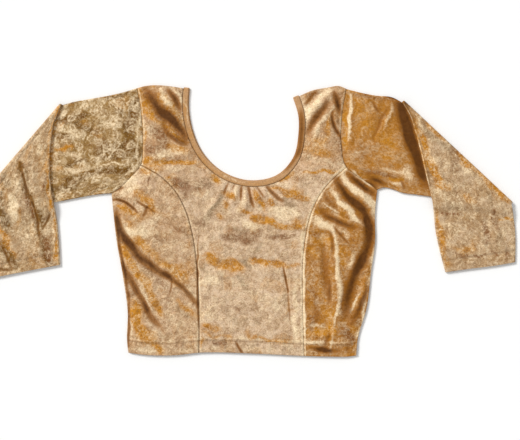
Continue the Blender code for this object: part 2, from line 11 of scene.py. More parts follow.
import bpy
import numpy as np
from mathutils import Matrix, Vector


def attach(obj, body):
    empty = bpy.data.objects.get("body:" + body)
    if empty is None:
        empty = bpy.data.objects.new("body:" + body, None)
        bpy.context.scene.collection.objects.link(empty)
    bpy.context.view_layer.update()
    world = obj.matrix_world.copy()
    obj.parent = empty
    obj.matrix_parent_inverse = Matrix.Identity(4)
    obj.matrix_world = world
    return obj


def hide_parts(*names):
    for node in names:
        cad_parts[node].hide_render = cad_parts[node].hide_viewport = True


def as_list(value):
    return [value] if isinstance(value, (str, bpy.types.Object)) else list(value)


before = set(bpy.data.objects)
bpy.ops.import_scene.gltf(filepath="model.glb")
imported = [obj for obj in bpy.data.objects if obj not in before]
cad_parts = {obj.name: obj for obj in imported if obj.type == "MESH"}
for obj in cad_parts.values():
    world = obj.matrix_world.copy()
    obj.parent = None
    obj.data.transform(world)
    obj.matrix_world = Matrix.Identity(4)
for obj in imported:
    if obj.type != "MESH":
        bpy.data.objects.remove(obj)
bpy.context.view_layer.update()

MM = 0.001
BLOUSE_MIDDLE = (-11.64, 191.72)
PHOTO_WIDTH = 520
MM_PER_PIXEL = 1.42
PHOTO_MIDDLE = (13.5, 193.1)

# Cloth and levels, as in the solids
WALL = 1.3
SEAM_GAP = 0.3
LAYER_GAP = 0.8
FRONT_UNDER = WALL + LAYER_GAP
EDGE_UNDER = WALL + SEAM_GAP
LAID_HEIGHT = 2 * WALL + LAYER_GAP
HALF_SEAM = SEAM_GAP / 2
FRONT_LOFT = 2.4
LOFT_RUN = 24.0
EDGE_RUN = 9.0
HEM_DEPTH = 17.0
HEM_RISE = 0.5
HEM_BLEND = 5.0
DEEPEST = -0.35
BINDING_WIDTH = 7.5
BINDING_THICK = 1.4
BINDING_LOW = BINDING_THICK / 2
BINDING_TURN = 1.05
BACK_NECK_SHOWS = 1.5
SLEEVE_LOFT = 1.6
ELBOW_CLEAR = 0.5
ELBOW_AXIS = LAID_HEIGHT + ELBOW_CLEAR
DROP_START = 4.0
DROP_RUN = 26.0
COVER_CLEAR = 5.0
COVER_RUN = 18.0
CUFF_RISE = 0.4
CUFF_FADE = 0.8
CUFF_DEPTH = 17.0
BULGE_SHARE = 0.2

# The fine mesh: its wall and steps, and how its edges and seams round off and dip
CLOTH = 0.9
FINE = 1.3
BACK_FINE = 2.2
BACK_RISE = 0.18
EDGE_ROWS = (0.0, 0.35, 0.9, 1.7)
EDGE_ROUND = 0.7
RELIEF_RUN = 4.0
SEAM_ROUND = 1.4
SEAM_DIP = 0.6
SEAM_THIN = 1.0
STITCH_GROOVE = 0.35
STITCH_ROUND = 1.6

# Seam and edge lines, as in the solids. Each runs upwards or from the body outwards.
SIDE_SEAM = {
    "left": ((-173, 5), (-175, 22), (-174, 60), (-181, 114), (-190, 165), (-195, 210), (-197, 231)),
    "right": ((150, 1), (152.5, 26), (164.5, 67), (171, 119), (177, 165), (176.5, 200), (180, 236)),
}
PRINCESS_SEAM = {
    "left": (
        (-73, 5), (-73, 78), (-76, 129), (-82, 172), (-92, 207), (-106, 233), (-124, 252), (-156, 271),
    ),
    "right": ((76, 0.5), (74, 78), (75, 147), (79, 176), (87, 206), (103, 236), (136, 268)),
}
ARMHOLE = {
    "left": (
        (-161, 380), (-155, 345), (-153, 300), (-156, 271), (-169, 255), (-184, 240), (-197, 231),
    ),
    "right": ((136, 379), (130, 345), (129, 300), (136, 268), (151, 256), (166, 246), (180, 236)),
}
SHOULDER = {
    "left": ((-161, 380), (-148, 383.5), (-106, 383), (-96, 381.5)),
    "right": ((136, 379), (126, 383), (110, 381), (87, 376.5), (70, 369)),
}
HEM = (
    (-173, 5), (-150, 2), (-106, 1.5), (-73, 5), (0, 4), (76, 0.5), (113, -0.5), (137, -0.5), (150, 1),
)
NECK = (
    (-87.5, 379), (-88.5, 350), (-83, 320), (-68.5, 288), (-38, 259.5),
    (0, 248), (41, 257.5), (62.5, 282.5), (69.5, 315), (69.5, 340), (62, 366),
)
HEM_MIDDLE = HEM[4]
NECK_LOWEST = 5
JUNCTION = 3
INWARD = {"left": -1, "right": 1}

Sleeve = namedtuple("Sleeve", "over under fold inner outer cuff")
SLEEVES = {
    "left": Sleeve(
        over=((-161, 380), (-185, 373), (-231, 364), (-253, 360), (-266.5, 356)),
        under=((-197, 231), (-219, 229), (-242, 225), (-276, 218.5), (-334, 212), (-397, 204.5)),
        fold=((-266.5, 356), (-397, 204.5)),
        inner=((-266.5, 356), (-276, 335), (-283, 293), (-282.5, 243), (-275, 199), (-270, 129.5)),
        outer=((-397, 204.5), (-391, 183), (-384, 158), (-370, 110)),
        cuff=((-270, 129.5), (-313, 121.5), (-370, 110)),
    ),
    "right": Sleeve(
        over=((136, 379), (155, 374), (178, 369.5), (201, 367), (214.5, 360)),
        under=(
            (180, 236), (190, 239), (201, 237), (214, 232), (235, 229), (300, 221), (369, 215.5),
        ),
        fold=((214.5, 360), (369, 215.5)),
        inner=(
            (214.5, 360), (225, 342), (233, 318), (250, 249), (258, 216), (263, 175), (276.5, 119),
        ),
        outer=((369, 215.5), (374, 190), (375.5, 133.5)),
        cuff=((276.5, 119), (315, 124.5), (340, 127.5), (375.5, 133.5)),
    ),
}

# Folds, each along a curve of three points, given as x and y of each: how high it stands, or how
# deep it lies if negative, how wide it is to one side, and how much steeper its right-hand side is
Fold = namedtuple("Fold", "x1 y1 x2 y2 x3 y3 height width lean", defaults=(0,))
FRONT_FOLDS = [Fold(*row) for row in (
    # Left side panel
    (-191, 190, -143, 125, -76, 74, -2.3, 7), (-185, 207, -131, 138, -78, 92, 1.8, 9),
    (-187, 160, -158, 102, -117, 37, 2, 8, 0.2), (-181, 125, -160, 84, -128, 40, -2, 6),
    (-177, 101, -167, 54, -150, 22, 1.3, 7), (-194, 222, -180, 217, -163, 204, -1.4, 4.5),
    (-192, 228, -171, 228, -143, 215, 1, 5), (-192, 204, -171, 184, -143, 168, 1.1, 7),
    (-109, 102, -106, 54, -106, 14, 1, 3.5),
    # Centre panel
    (-150, 273, -114, 274, -73, 279, -1.2, 4), (-143, 282, -111, 284, -75, 291, 1.1, 6),
    (-37, 240, -46, 224, -64, 200, 1.5, 4.5), (-22, 240, -23, 226, -29, 208, 1.2, 4),
    (-7, 239, -6, 225, -7, 205, 1.5, 4), (4, 239, 9, 223, 14, 202, 1.2, 4),
    (16, 240, 25, 227, 38, 211, 1.4, 4), (31, 244, 45, 231, 64, 219, 1.1, 4.5),
    (-69, 159, -26, 176, 16, 160, 1.3, 9), (6, 187, 42, 187, 76, 183, 1, 7),
    (-66, 125, -8, 133, 56, 133, -1.6, 6), (-62, 113, -8, 120, 50, 121, 1.1, 8),
    (46, 128, 52, 94, 60, 44, -1.3, 4), (14, 119, 28, 80, 33, 37, 1.1, 9),
    (-50, 112, -40, 80, -52, 30, 0.9, 10),
    # Right side panel
    (138, 261, 157, 247, 175, 227, -1.6, 4), (137, 261, 151, 238, 173, 206, 1.5, 5),
    (126, 251, 144, 222, 168, 187, -1.9, 5), (119, 241, 134, 211, 156, 191, 1.8, 6),
    (96, 213, 124, 199, 150, 183, -1.6, 5), (90, 202, 110, 184, 134, 181, 1, 6),
    (113, 172, 123, 115, 119, 30, 1.9, 7), (105, 172, 104, 130, 108, 78, -1.3, 5),
    (168, 184, 158, 122, 134, 46, -2.3, 8, -0.2), (174, 158, 166, 108, 147, 44, 1.4, 6),
    (120, 176, 130, 168, 140, 158, 0.9, 4),
    # Straps
    (-150, 375, -129, 345, -92, 308, -2.2, 6), (-133, 380, -114, 356, -97, 329, 1.6, 6),
    (-114, 380, -105, 366, -99, 348, -1.3, 4), (-153, 362, -140, 339, -100, 303, 1.3, 6),
    (-124, 327, -114, 307, -99, 292, -1.2, 5), (121, 377, 99, 358, 79, 331, 1.7, 6),
    (117, 364, 96, 339, 80, 311, -1.7, 5), (97, 374, 86, 361, 78, 348, -1.1, 4),
    (111, 350, 95, 324, 80, 298, 1.2, 6), (119, 362, 119, 341, 130, 305, 1.6, 4, 0.3),
    (116, 346, 121, 320, 131, 285, -1.6, 4),
)]
SLEEVE_FOLDS = [Fold(*row) for row in (
    (142, 374, 141, 342, 140, 300, 1.2, 5), (190, 355, 181, 332, 173, 307, -1.2, 5),
    (204, 356, 196, 340, 187, 318, 0.9, 6), (172, 262, 181, 252, 190, 262, 0.9, 5),
    (198, 248, 208, 256, 216, 247, 0.9, 5), (266, 207, 312, 204, 366, 197, -1.2, 5),
    (266, 217, 312, 216, 352, 210, 1, 7), (340, 208, 336, 176, 349, 140, -1, 6),
    (-165, 364, -171, 332, -177, 298, -1.2, 6), (-180, 364, -190, 332, -196, 290, 0.9, 8),
    (-214, 267, -192, 270, -171, 274, 0.8, 5), (-329, 278, -313, 229, -300, 165, -1.5, 5),
    (-321, 281, -303, 230, -292, 165, 1.1, 6), (-365, 236, -352, 204, -339, 185, 1.2, 6),
    (-326, 213, -333, 197, -339, 185, 0.9, 5), (-359, 187, -346, 155, -334, 130, -1.2, 6),
    (-286, 300, -289, 250, -284, 150, 0.9, 5),
)]

# How the nap lies and where light and shade are painted, by tone: each mark runs along a curve of
# three points, given as x and y of each, and then come its width to one side and its amount. pale is
# a painted highlight where the pile faces the light, amber pile that leans away, olive and brown
# pile that leans away with painted shade, deep painted shade in a valley and grey painted soft shade
FRONT_MARKS = {
    "deep": (
        # Left side panel
        (-191, 207, -182, 176, -168, 157, 4.6, 1), (-177, 166, -150, 136, -116, 113, 5.4, 1),
        (-122, 117, -98, 100, -75, 74, 3.4, 0.85), (-183, 130, -161, 93, -146, 66, 4.6, 0.85),
        (-150, 74, -141, 56, -126, 40, 4.4, 0.7), (-190, 198, -183, 142, -173, 85, 2, 0.8),
        (-173, 90, -172, 50, -174, 12, 2.2, 0.75), (-196, 221, -180, 220, -160, 205, 1.9, 1),
        (-161, 221, -149, 213, -134, 203, 1.5, 0.75), (-146, 209, -149, 203, -153, 198, 2.6, 0.7),
        (-200, 233, -191, 236, -181, 240, 2.3, 0.9), (-112, 108, -112, 100, -114, 88, 1.4, 0.55),
        # Centre panel
        (-31, 246, -34, 238, -37, 227, 1.7, 0.6), (-22, 243, -24, 240, -25, 235, 1.4, 0.55),
        (-12, 242, -13, 232, -14, 220, 1.6, 0.8), (-3, 242, 0, 228, 4, 212, 1.9, 0.9),
        (9, 241, 13, 234, 19, 226, 1.6, 0.6), (23, 241, 32, 230, 46, 221, 2.3, 0.9),
        (46, 128, 50, 110, 53, 92, 1.25, 1), (52, 96, 54, 70, 58, 44, 1.1, 0.55),
        (-21, 20, -17, 12, -11, 5, 1.7, 0.9), (-74, 170, -75, 110, -74, 40, 1.2, 0.8),
        # Right side panel
        (140, 259, 156, 243, 177, 229, 4.8, 1), (121, 251, 136, 229, 154, 211, 5.4, 1),
        (146, 218, 162, 203, 167, 176, 6.4, 1), (168, 190, 167, 160, 152, 124, 6.6, 1),
        (158, 136, 142, 104, 135, 56, 6.6, 1), (165, 98, 156, 72, 142, 46, 3.8, 0.9),
        (98, 209, 114, 195, 152, 182, 4.2, 0.9), (118, 183, 127, 173, 139, 160, 1.8, 0.8),
        (112, 178, 115, 162, 116, 144, 2.4, 0.65), (104, 154, 106, 120, 108, 84, 5.5, 0.55),
        (112, 106, 112, 92, 110, 74, 2.6, 0.5), (90, 70, 94, 58, 90, 48, 5, 0.5),
        (97, 12, 104, 10, 110, 8, 4.6, 1), (84, 12, 100, 9, 128, 8, 2.6, 0.7),
        (112, 34, 109, 26, 106, 18, 3, 0.6), (140, 20, 138, 12, 140, 6, 3, 0.5),
        (103, 232, 110, 220, 122, 208, 3.2, 0.55),
        # Straps
        (-146, 376, -130, 352, -112, 334, 7.4, 1), (-122, 344, -106, 330, -91, 306, 5.2, 1),
        (-117, 379, -109, 367, -99, 350, 3.6, 0.9), (-124, 328, -112, 311, -90, 299, 3.4, 0.75),
        (120, 373, 123, 360, 128, 344, 3.8, 1), (116, 346, 119, 326, 130, 306, 2.2, 1),
        (129, 310, 133, 292, 136, 272, 1.5, 1), (110, 360, 96, 342, 80, 316, 4.6, 0.8),
        (94, 376, 86, 368, 78, 356, 2.8, 0.7),
    ),
    "amber": (
        # Left side panel
        (-181, 156, -166, 127, -148, 103, 6, 1), (-150, 106, -138, 82, -126, 56, 4.5, 0.7),
        (-166, 74, -160, 48, -152, 22, 6.5, 1), (-152, 36, -146, 26, -136, 17, 6.5, 0.75),
        (-100, 80, -92, 70, -78, 60, 4.5, 0.6), (-157, 165, -148, 156, -136, 145, 7, 0.75),
        (-134, 138, -112, 126, -88, 107, 4.5, 0.65), (-166, 228, -150, 225, -136, 209, 6, 0.6),
        (-192, 213, -176, 207, -160, 203, 3.2, 0.8), (-173, 188, -170, 180, -163, 172, 3.5, 0.55),
        (-136, 17, -130, 9, -122, 6, 4.5, 0.6), (-85, 168, -86, 160, -84, 150, 3.5, 0.35),
        # Centre panel
        (-36, 228, -28, 226, -20, 224, 5, 0.6), (-39, 216, -35, 212, -33, 206, 3.6, 0.65),
        (7, 232, 12, 221, 17, 212, 3.6, 0.95), (25, 226, 30, 221, 33, 217, 3.4, 0.65),
        (30, 240, 54, 231, 82, 223, 3.8, 1), (-14, 211, -7, 206, 0, 206, 3.6, 0.75),
        (5, 197, 22, 193, 32, 190, 5.4, 0.95), (24, 190, 42, 187, 74, 185, 3.2, 1),
        (-60, 146, -54, 139, -48, 132, 3.8, 0.95), (-48, 127, -28, 128, -10, 129, 3.6, 1),
        (-38, 136, -26, 134, -14, 134, 3, 0.6), (0, 137, 14, 133, 28, 131, 4.2, 0.85),
        (20, 130, 36, 132, 48, 131, 3.6, 0.9), (48, 129, 58, 127, 70, 128, 2.6, 0.45),
        (-68, 42, -56, 42, -44, 40, 3.8, 0.75), (-70, 34, -50, 30, -30, 30, 3.4, 0.45),
        (-6, 36, 8, 27, 30, 25, 3.2, 0.6), (26, 24, 44, 24, 58, 22, 2.2, 0.5),
        (-70, 26, -69, 16, -68, 8, 2.4, 0.55), (-48, 200, -42, 196, -36, 195, 3.2, 0.5),
        (50, 60, 52, 72, 50, 84, 2.6, 0.35), (-142, 272, -112, 273, -78, 278, 2.6, 1),
        (-150, 276, -147, 281, -142, 284, 3.8, 0.8), (-155, 266, -146, 260, -138, 262, 4.6, 0.75),
        (-58, 256, -50, 252, -44, 246, 4, 0.65), (34, 252, 48, 254, 64, 260, 2.8, 0.7),
        (78, 262, 102, 261, 128, 262, 1.9, 0.85), (-122, 252, -114, 246, -106, 242, 4, 0.45),
        # Right side panel
        (84, 176, 96, 170, 108, 166, 8, 0.7), (86, 154, 92, 148, 98, 140, 6, 0.5),
        (82, 36, 100, 35, 120, 40, 5.2, 0.95), (112, 66, 114, 56, 112, 48, 3.6, 0.7),
        (126, 196, 140, 188, 152, 184, 3.4, 0.7), (122, 152, 128, 140, 132, 126, 4, 0.5),
        (160, 96, 156, 82, 150, 70, 3, 0.6), (130, 240, 140, 226, 152, 216, 2, 0.5),
        # Straps
        (-156, 378, -151, 362, -140, 348, 5.5, 0.95), (-150, 350, -132, 335, -112, 320, 3.2, 0.7),
        (-126, 366, -112, 352, -99, 336, 5.6, 0.9), (-112, 316, -100, 308, -88, 302, 2, 0.8),
        (-118, 298, -104, 294, -90, 292, 4.4, 0.75), (-154, 368, -153, 320, -155, 276, 2.6, 1),
        (86, 310, 98, 304, 106, 312, 6, 0.5), (82, 292, 96, 290, 112, 286, 6, 0.6),
        (112, 340, 110, 326, 108, 314, 4, 0.5), (134, 364, 132, 335, 133, 300, 1.8, 0.7),
    ),
    "pale": (
        # Left side panel
        (-187, 190, -172, 178, -150, 178, 8, 0.8), (-152, 190, -138, 194, -120, 196, 8, 0.5),
        (-95, 98, -86, 92, -78, 84, 5, 0.8), (-158, 104, -146, 82, -136, 62, 2.4, 0.65),
        (-124, 64, -112, 54, -100, 48, 8, 0.45), (-192, 244, -172, 248, -146, 254, 6, 0.55),
        (-182, 232, -170, 236, -150, 240, 4, 0.5), (-172, 72, -169, 50, -168, 26, 1.8, 0.7),
        (-166, 13, -150, 10, -140, 8, 4, 0.4), (-190, 170, -188, 164, -180, 160, 2.4, 0.7),
        (-148, 218, -150, 212, -154, 208, 3.5, 0.5),
        # Centre panel
        (-18, 240, -20, 230, -22, 220, 2.2, 0.7), (-8, 240, -7, 230, -8, 218, 2, 0.7),
        (20, 238, 24, 230, 30, 226, 1.8, 0.5), (-60, 218, -64, 226, -58, 234, 7, 0.45),
        (-12, 190, 0, 188, 14, 184, 4.4, 0.8), (30, 206, 50, 202, 72, 198, 7, 0.65),
        (30, 212, 48, 212, 60, 208, 4, 0.5), (-70, 104, -50, 106, -30, 104, 9, 0.35),
        (64, 120, 62, 84, 66, 28, 4.6, 0.6), (6, 90, 24, 78, 36, 60, 11, 0.4),
        (-64, 66, -50, 56, -36, 50, 10, 0.3), (74, 186, 75, 110, 76, 6, 1.8, 0.8),
        (-78, 190, -74, 150, -72, 60, 1.4, 0.5), (-135, 286, -112, 288, -88, 290, 5, 0.55),
        (-134, 265, -108, 266, -82, 270, 4.4, 0.45), (30, 246, 46, 246, 56, 242, 3.6, 0.5),
        (-14, 214, -12, 216, -18, 204, 3.4, 0.5), (-46, 186, -52, 190, -58, 196, 4, 0.35),
        # Right side panel
        (129, 261, 146, 237, 178, 218, 4.4, 1), (166, 226, 174, 216, 176, 196, 4.4, 0.9),
        (113, 240, 130, 215, 157, 187, 4.2, 1), (142, 262, 158, 250, 172, 242, 2, 0.8),
        (86, 194, 98, 190, 114, 182, 5.4, 1), (101, 218, 112, 208, 124, 201, 1.5, 0.7),
        (114, 182, 120, 150, 123, 112, 2.6, 0.95), (123, 120, 128, 92, 124, 62, 4.4, 0.85),
        (122, 70, 119, 50, 116, 38, 2.4, 0.6), (116, 34, 115, 20, 112, 5, 2.2, 0.7),
        (128, 181, 136, 177, 140, 170, 4, 0.6), (148, 146, 144, 134, 138, 124, 4.6, 0.65),
        (154, 90, 149, 78, 143, 64, 2.4, 0.9), (176, 170, 172, 134, 166, 104, 2.4, 0.8),
        (166, 100, 160, 62, 152, 28, 2.4, 0.8), (84, 46, 96, 45, 104, 42, 2, 0.6),
        (80, 18, 96, 17, 108, 18, 1.6, 0.7), (88, 122, 94, 118, 100, 122, 4, 0.4),
        # Straps
        (-130, 378, -122, 366, -112, 352, 3, 0.85), (-104, 376, -100, 366, -98, 358, 1.6, 0.6),
        (-112, 310, -100, 304, -88, 297, 1.4, 0.8), (-148, 334, -146, 318, -142, 306, 4, 0.5),
        (114, 376, 97, 362, 80, 342, 5.4, 0.95), (108, 346, 98, 330, 86, 308, 4.4, 0.7),
        (118, 356, 116, 350, 112, 342, 3, 0.6), (132, 352, 129, 336, 127, 320, 1.5, 0.9),
        (88, 278, 104, 276, 120, 270, 4, 0.5),
    ),
    "grey": (
        # Left side panel
        (-165, 196, -160, 190, -160, 182, 2.6, 0.5), (-104, 66, -92, 62, -84, 56, 5, 0.45),
        (-130, 38, -128, 30, -120, 26, 3.5, 0.4),
        # Centre panel
        (-68, 188, -54, 208, -36, 234, 4, 0.65), (-50, 182, -20, 180, 10, 180, 3, 0.5),
        (-12, 137, -5, 134, 0, 128, 4, 0.8), (-20, 117, -12, 108, -4, 94, 2.8, 0.7),
        (-50, 120, -44, 116, -36, 112, 3.2, 0.5), (14, 160, 8, 150, 2, 142, 3, 0.5),
        (48, 228, 54, 218, 66, 214, 4, 0.55), (2, 60, 10, 50, 18, 44, 3.4, 0.4),
        (64, 104, 64, 90, 66, 78, 3, 0.4), (-22, 58, -20, 50, -16, 42, 3, 0.35),
        (-70, 128, -64, 122, -58, 124, 3.2, 0.5),
        # Straps
        (74, 276, 80, 282, 84, 288, 4, 0.5), (-146, 330, -136, 322, -130, 312, 7, 0.5),
        (-140, 298, -120, 294, -100, 288, 4, 0.45),
    ),
    "brown": (
        # Left side panel
        (-113, 92, -118, 80, -121, 66, 4, 0.45), (-111, 84, -109, 72, -106, 60, 1.5, 0.4),
        (-139, 258, -141, 248, -141, 240, 1.6, 0.7), (-107, 184, -97, 180, -87, 173, 4.5, 0.5),
        (-136, 172, -118, 165, -104, 170, 5, 0.45), (-140, 200, -130, 190, -112, 187, 3.5, 0.3),
        (-148, 128, -130, 110, -118, 98, 5, 0.45), (-106, 32, -106, 20, -105, 8, 1.6, 0.5),
        # Centre panel
        (-40, 173, -24, 167, -10, 170, 3.6, 0.75), (-14, 168, -4, 164, 4, 170, 4.5, 0.85),
        (-30, 178, -6, 175, 12, 180, 3, 0.45), (20, 172, 40, 170, 62, 171, 2.6, 0.6),
        (44, 173, 54, 171, 64, 171, 3.4, 0.5), (-52, 20, -44, 17, -34, 18, 4, 0.7),
        (-10, 19, 0, 17, 12, 18, 2, 0.45), (-6, 98, 2, 86, 10, 92, 5, 0.35),
        (-40, 68, -35, 64, -28, 70, 4, 0.35), (-24, 70, -16, 64, -10, 60, 2.5, 0.35),
        (-58, 84, -50, 78, -42, 76, 3.5, 0.3), (-114, 250, -96, 240, -90, 229, 7, 0.7),
        (-80, 236, -70, 242, -56, 244, 6, 0.55), (-80, 192, -72, 188, -62, 192, 5, 0.45),
        (76, 252, 66, 249, 58, 252, 3.6, 0.4),
        # Right side panel
        (82, 178, 96, 172, 108, 176, 5.5, 0.5), (84, 100, 90, 84, 98, 74, 6, 0.45),
        (126, 40, 138, 30, 146, 22, 7, 0.6), (82, 60, 86, 46, 84, 36, 4, 0.5),
        # Straps
        (-100, 380, -98, 372, -97, 362, 3, 0.5), (122, 316, 127, 300, 130, 282, 4, 0.7),
        (76, 366, 90, 373, 104, 376, 2.6, 0.6), (-150, 300, -136, 292, -120, 296, 6, 0.6),
        (-120, 318, -122, 308, -118, 300, 5, 0.5), (-146, 322, -134, 316, -122, 312, 6, 0.6),
    ),
}
SLEEVE_MARKS = {
    "deep": (
        # Right upper
        # The first two are a painted shadow beside the lower sleeve that lies over this one, the rest
        # painted shade in creases and puckers
        (211, 362, 218, 338, 228, 306, 8.4, 1.4), (224, 316, 234, 286, 247, 244, 7, 1.4),
        (173, 360, 177, 353, 182, 346, 2.2, 0.7), (194, 352, 184, 333, 173, 307, 2, 0.7),
        (168, 253, 177, 249, 190, 243, 3.6, 1), (160, 248, 172, 242, 180, 236, 3.4, 0.9),
        (212, 250, 216, 243, 218, 236, 1.8, 0.7),
        # Left lower
        (-326, 274, -318, 244, -306, 212, 1.8, 0.9), (-308, 218, -302, 196, -299, 168, 1.9, 0.9),
        (-283, 202, -288, 192, -294, 180, 1.6, 0.8), (-352, 160, -345, 142, -338, 124, 1.9, 0.75),
        (-362, 126, -352, 123, -340, 122, 2.4, 0.7), (-396, 232, -388, 214, -380, 200, 4, 0.4),
    ),
    "amber": (
        # Right upper
        (146, 366, 160, 340, 156, 310, 12, 0.35), (186, 330, 196, 300, 192, 272, 14, 0.3),
        (198, 252, 208, 250, 216, 256, 5, 0.5), (136, 350, 134, 320, 136, 290, 3, 0.7),
        # Right lower
        (226, 344, 243, 304, 256, 262, 3.6, 0.75), (250, 286, 262, 254, 272, 238, 5, 0.8),
        (264, 204, 268, 170, 278, 128, 4.2, 0.65), (226, 354, 300, 283, 368, 218, 3, 0.7),
        (262, 240, 270, 238, 280, 238, 4, 0.7), (296, 284, 304, 276, 314, 268, 4, 0.7),
        (335, 246, 346, 236, 358, 226, 4.4, 0.6), (352, 196, 362, 196, 374, 196, 1.6, 0.9),
        (282, 156, 300, 152, 318, 152, 5, 0.45), (300, 232, 310, 224, 318, 220, 5, 0.45),
        # Left upper
        (-278, 292, -264, 293, -252, 298, 3.2, 0.65), (-276, 310, -270, 309, -264, 309, 2.6, 0.6),
        (-275, 332, -268, 332, -262, 335, 3.6, 0.7), (-278, 266, -270, 266, -262, 268, 3, 0.5),
        (-270, 352, -272, 342, -276, 330, 3.4, 0.8),
        # Left lower
        (-279, 326, -283, 296, -284, 262, 2.6, 1), (-284, 266, -282, 232, -281, 206, 2.4, 0.9),
        (-279, 210, -276, 176, -273, 134, 2.8, 0.95), (-362, 194, -347, 164, -334, 138, 4.6, 1),
        (-328, 276, -325, 268, -322, 260, 2.2, 0.7), (-326, 210, -330, 198, -334, 186, 3.4, 0.5),
    ),
    "pale": (
        # Right upper
        (142, 372, 142, 342, 139, 306, 2.4, 0.95), (202, 360, 197, 344, 189, 322, 2.2, 0.6),
        (216, 266, 222, 258, 226, 250, 6, 0.7), (180, 266, 196, 266, 214, 262, 2, 0.5),
        (198, 243, 210, 246, 216, 240, 2.6, 0.7), (142, 262, 152, 255, 164, 250, 1.6, 0.8),
        (146, 284, 154, 289, 166, 290, 1.4, 0.5),
        # Right lower
        (262, 232, 270, 226, 278, 220, 4, 0.5), (252, 282, 257, 276, 260, 270, 4.6, 0.65),
        (300, 270, 308, 262, 316, 256, 5, 0.5), (268, 190, 278, 186, 286, 190, 5, 0.5),
        (318, 160, 328, 159, 338, 158, 2, 0.5), (356, 186, 358, 176, 360, 166, 4, 0.5),
        (236, 340, 240, 330, 246, 322, 3, 0.5),
        # Left upper
        (-262, 354, -266, 344, -272, 336, 3.4, 0.7), (-276, 320, -256, 318, -238, 312, 3.6, 0.5),
        (-276, 284, -256, 286, -236, 286, 5, 0.5), (-242, 274, -232, 268, -222, 272, 5, 0.5),
        (-214, 340, -204, 326, -192, 322, 7, 0.4), (-262, 262, -248, 262, -232, 264, 2.6, 0.5),
        (-158, 356, -158, 322, -160, 300, 2, 0.9), (-212, 270, -194, 273, -174, 274, 1.1, 1),
        (-178, 258, -168, 260, -158, 268, 2.2, 0.8), (-160, 300, -160, 286, -158, 272, 2.2, 0.7),
        (-214, 304, -206, 290, -212, 276, 1.2, 0.7), (-200, 278, -192, 292, -178, 306, 1.1, 0.8),
        (-200, 244, -184, 244, -168, 250, 4.6, 0.5),
        # Left lower
        (-338, 226, -333, 208, -338, 190, 4.4, 0.95), (-320, 250, -308, 214, -304, 180, 1.2, 0.6),
        (-334, 262, -332, 248, -330, 236, 4, 0.5), (-304, 300, -298, 290, -294, 276, 6, 0.4),
        (-280, 196, -278, 168, -275, 134, 1.4, 0.6), (-368, 226, -360, 208, -350, 190, 2.4, 0.7),
        (-320, 176, -322, 164, -322, 150, 5, 0.4),
    ),
    "grey": (
        # Right lower
        (246, 326, 252, 314, 262, 304, 5, 0.55), (266, 304, 276, 294, 284, 288, 5, 0.6),
        (282, 246, 288, 232, 294, 222, 5, 0.45), (350, 180, 352, 166, 350, 152, 4, 0.5),
        (270, 222, 284, 214, 300, 212, 4, 0.45), (332, 236, 336, 226, 338, 214, 5, 0.45),
        # Left lower
        (-353, 246, -349, 218, -343, 192, 3.6, 0.8), (-350, 262, -346, 248, -344, 236, 5, 0.7),
        (-298, 226, -296, 206, -292, 184, 4, 0.45), (-342, 274, -326, 294, -306, 318, 1.8, 0.6),
        (-316, 190, -312, 170, -306, 150, 4, 0.5),
    ),
    "brown": (
        # Right upper
        (146, 372, 176, 366, 204, 364, 3.4, 0.5), (150, 300, 160, 290, 150, 276, 8, 0.3),
        (160, 262, 182, 258, 206, 256, 4, 0.6),
        # Right lower
        (272, 206, 286, 204, 302, 203, 1.7, 0.9), (282, 290, 294, 280, 286, 262, 6, 0.5),
        (330, 198, 334, 180, 337, 160, 3.8, 0.85), (342, 210, 345, 198, 350, 178, 2.8, 0.65),
        (280, 146, 310, 144, 342, 147, 1.5, 0.6), (366, 154, 363, 144, 362, 134, 2.4, 0.6),
        (284, 242, 289, 234, 291, 224, 3, 0.45), (344, 148, 348, 140, 350, 134, 2, 0.5),
        # Left lower
        (-318, 232, -312, 212, -306, 196, 3.6, 0.75), (-290, 170, -287, 150, -284, 128, 4.4, 0.7),
        (-288, 250, -292, 240, -296, 232, 3.4, 0.5), (-312, 150, -306, 142, -302, 130, 3.6, 0.45),
    ),
    "olive": (
        # Left upper
        (-162, 362, -168, 338, -172, 308, 6, 1), (-176, 328, -175, 318, -172, 308, 5, 0.7),
        (-276, 336, -256, 335, -234, 343, 3.6, 0.7), (-278, 311, -266, 309, -248, 312, 3.4, 0.7),
        (-248, 328, -234, 323, -218, 318, 4.4, 0.7), (-264, 267, -250, 272, -236, 276, 3.6, 0.6),
        (-262, 246, -244, 252, -214, 262, 5, 0.8), (-279, 238, -268, 239, -256, 244, 5, 0.9),
        (-216, 288, -196, 292, -172, 288, 9, 1), (-213, 264, -192, 264, -170, 263, 3.8, 1),
        (-206, 366, -190, 368, -172, 372, 3.2, 0.6), (-192, 350, -187, 346, -184, 342, 3.2, 0.5),
        (-164, 300, -160, 288, -162, 274, 4, 0.6), (-250, 240, -248, 248, -250, 256, 3.4, 0.7),
        # Left lower
        (-326, 272, -315, 240, -301, 196, 5, 0.9), (-304, 206, -298, 184, -296, 160, 4.6, 0.8),
        (-362, 236, -353, 212, -344, 176, 5, 0.7), (-350, 158, -342, 142, -332, 128, 6, 0.8),
        (-292, 152, -288, 140, -288, 128, 5, 0.8),
    ),
}
# The binding's marks: painted shade along its right-hand stretch, a little amber, and painted
# highlights along its left
BINDING_MARKS = {
    "deep": ((71, 346, 72, 318, 68, 288, 4.4, 0.85), (68, 292, 60, 276, 48, 262, 3, 0.55)),
    "amber": (
        (-92, 380, -94, 345, -87, 315, 4, 0.26), (-88, 318, -70, 276, -40, 257, 4, 0.26),
        (-40, 257, 0, 242, 44, 256, 4, 0.2),
    ),
    "pale": ((-92, 376, -92, 350, -86, 322, 1.5, 0.5), (-60, 278, -36, 256, -4, 246, 1.8, 0.35)),
}

SPINE_STEPS = 12
CURVE_STEPS = 10
SAME_POINT = 1e-6
MARK_SPREAD = 1.15
# How many widths from its line a fold or a mark still counts, and how its ends die out
FOLD_REACH = 3.5
FOLD_ENDS = (0.04, 0.92, 0.5)
MARK_REACH = 2.5
MARK_ENDS = (0.05, 0.9, 0.4)


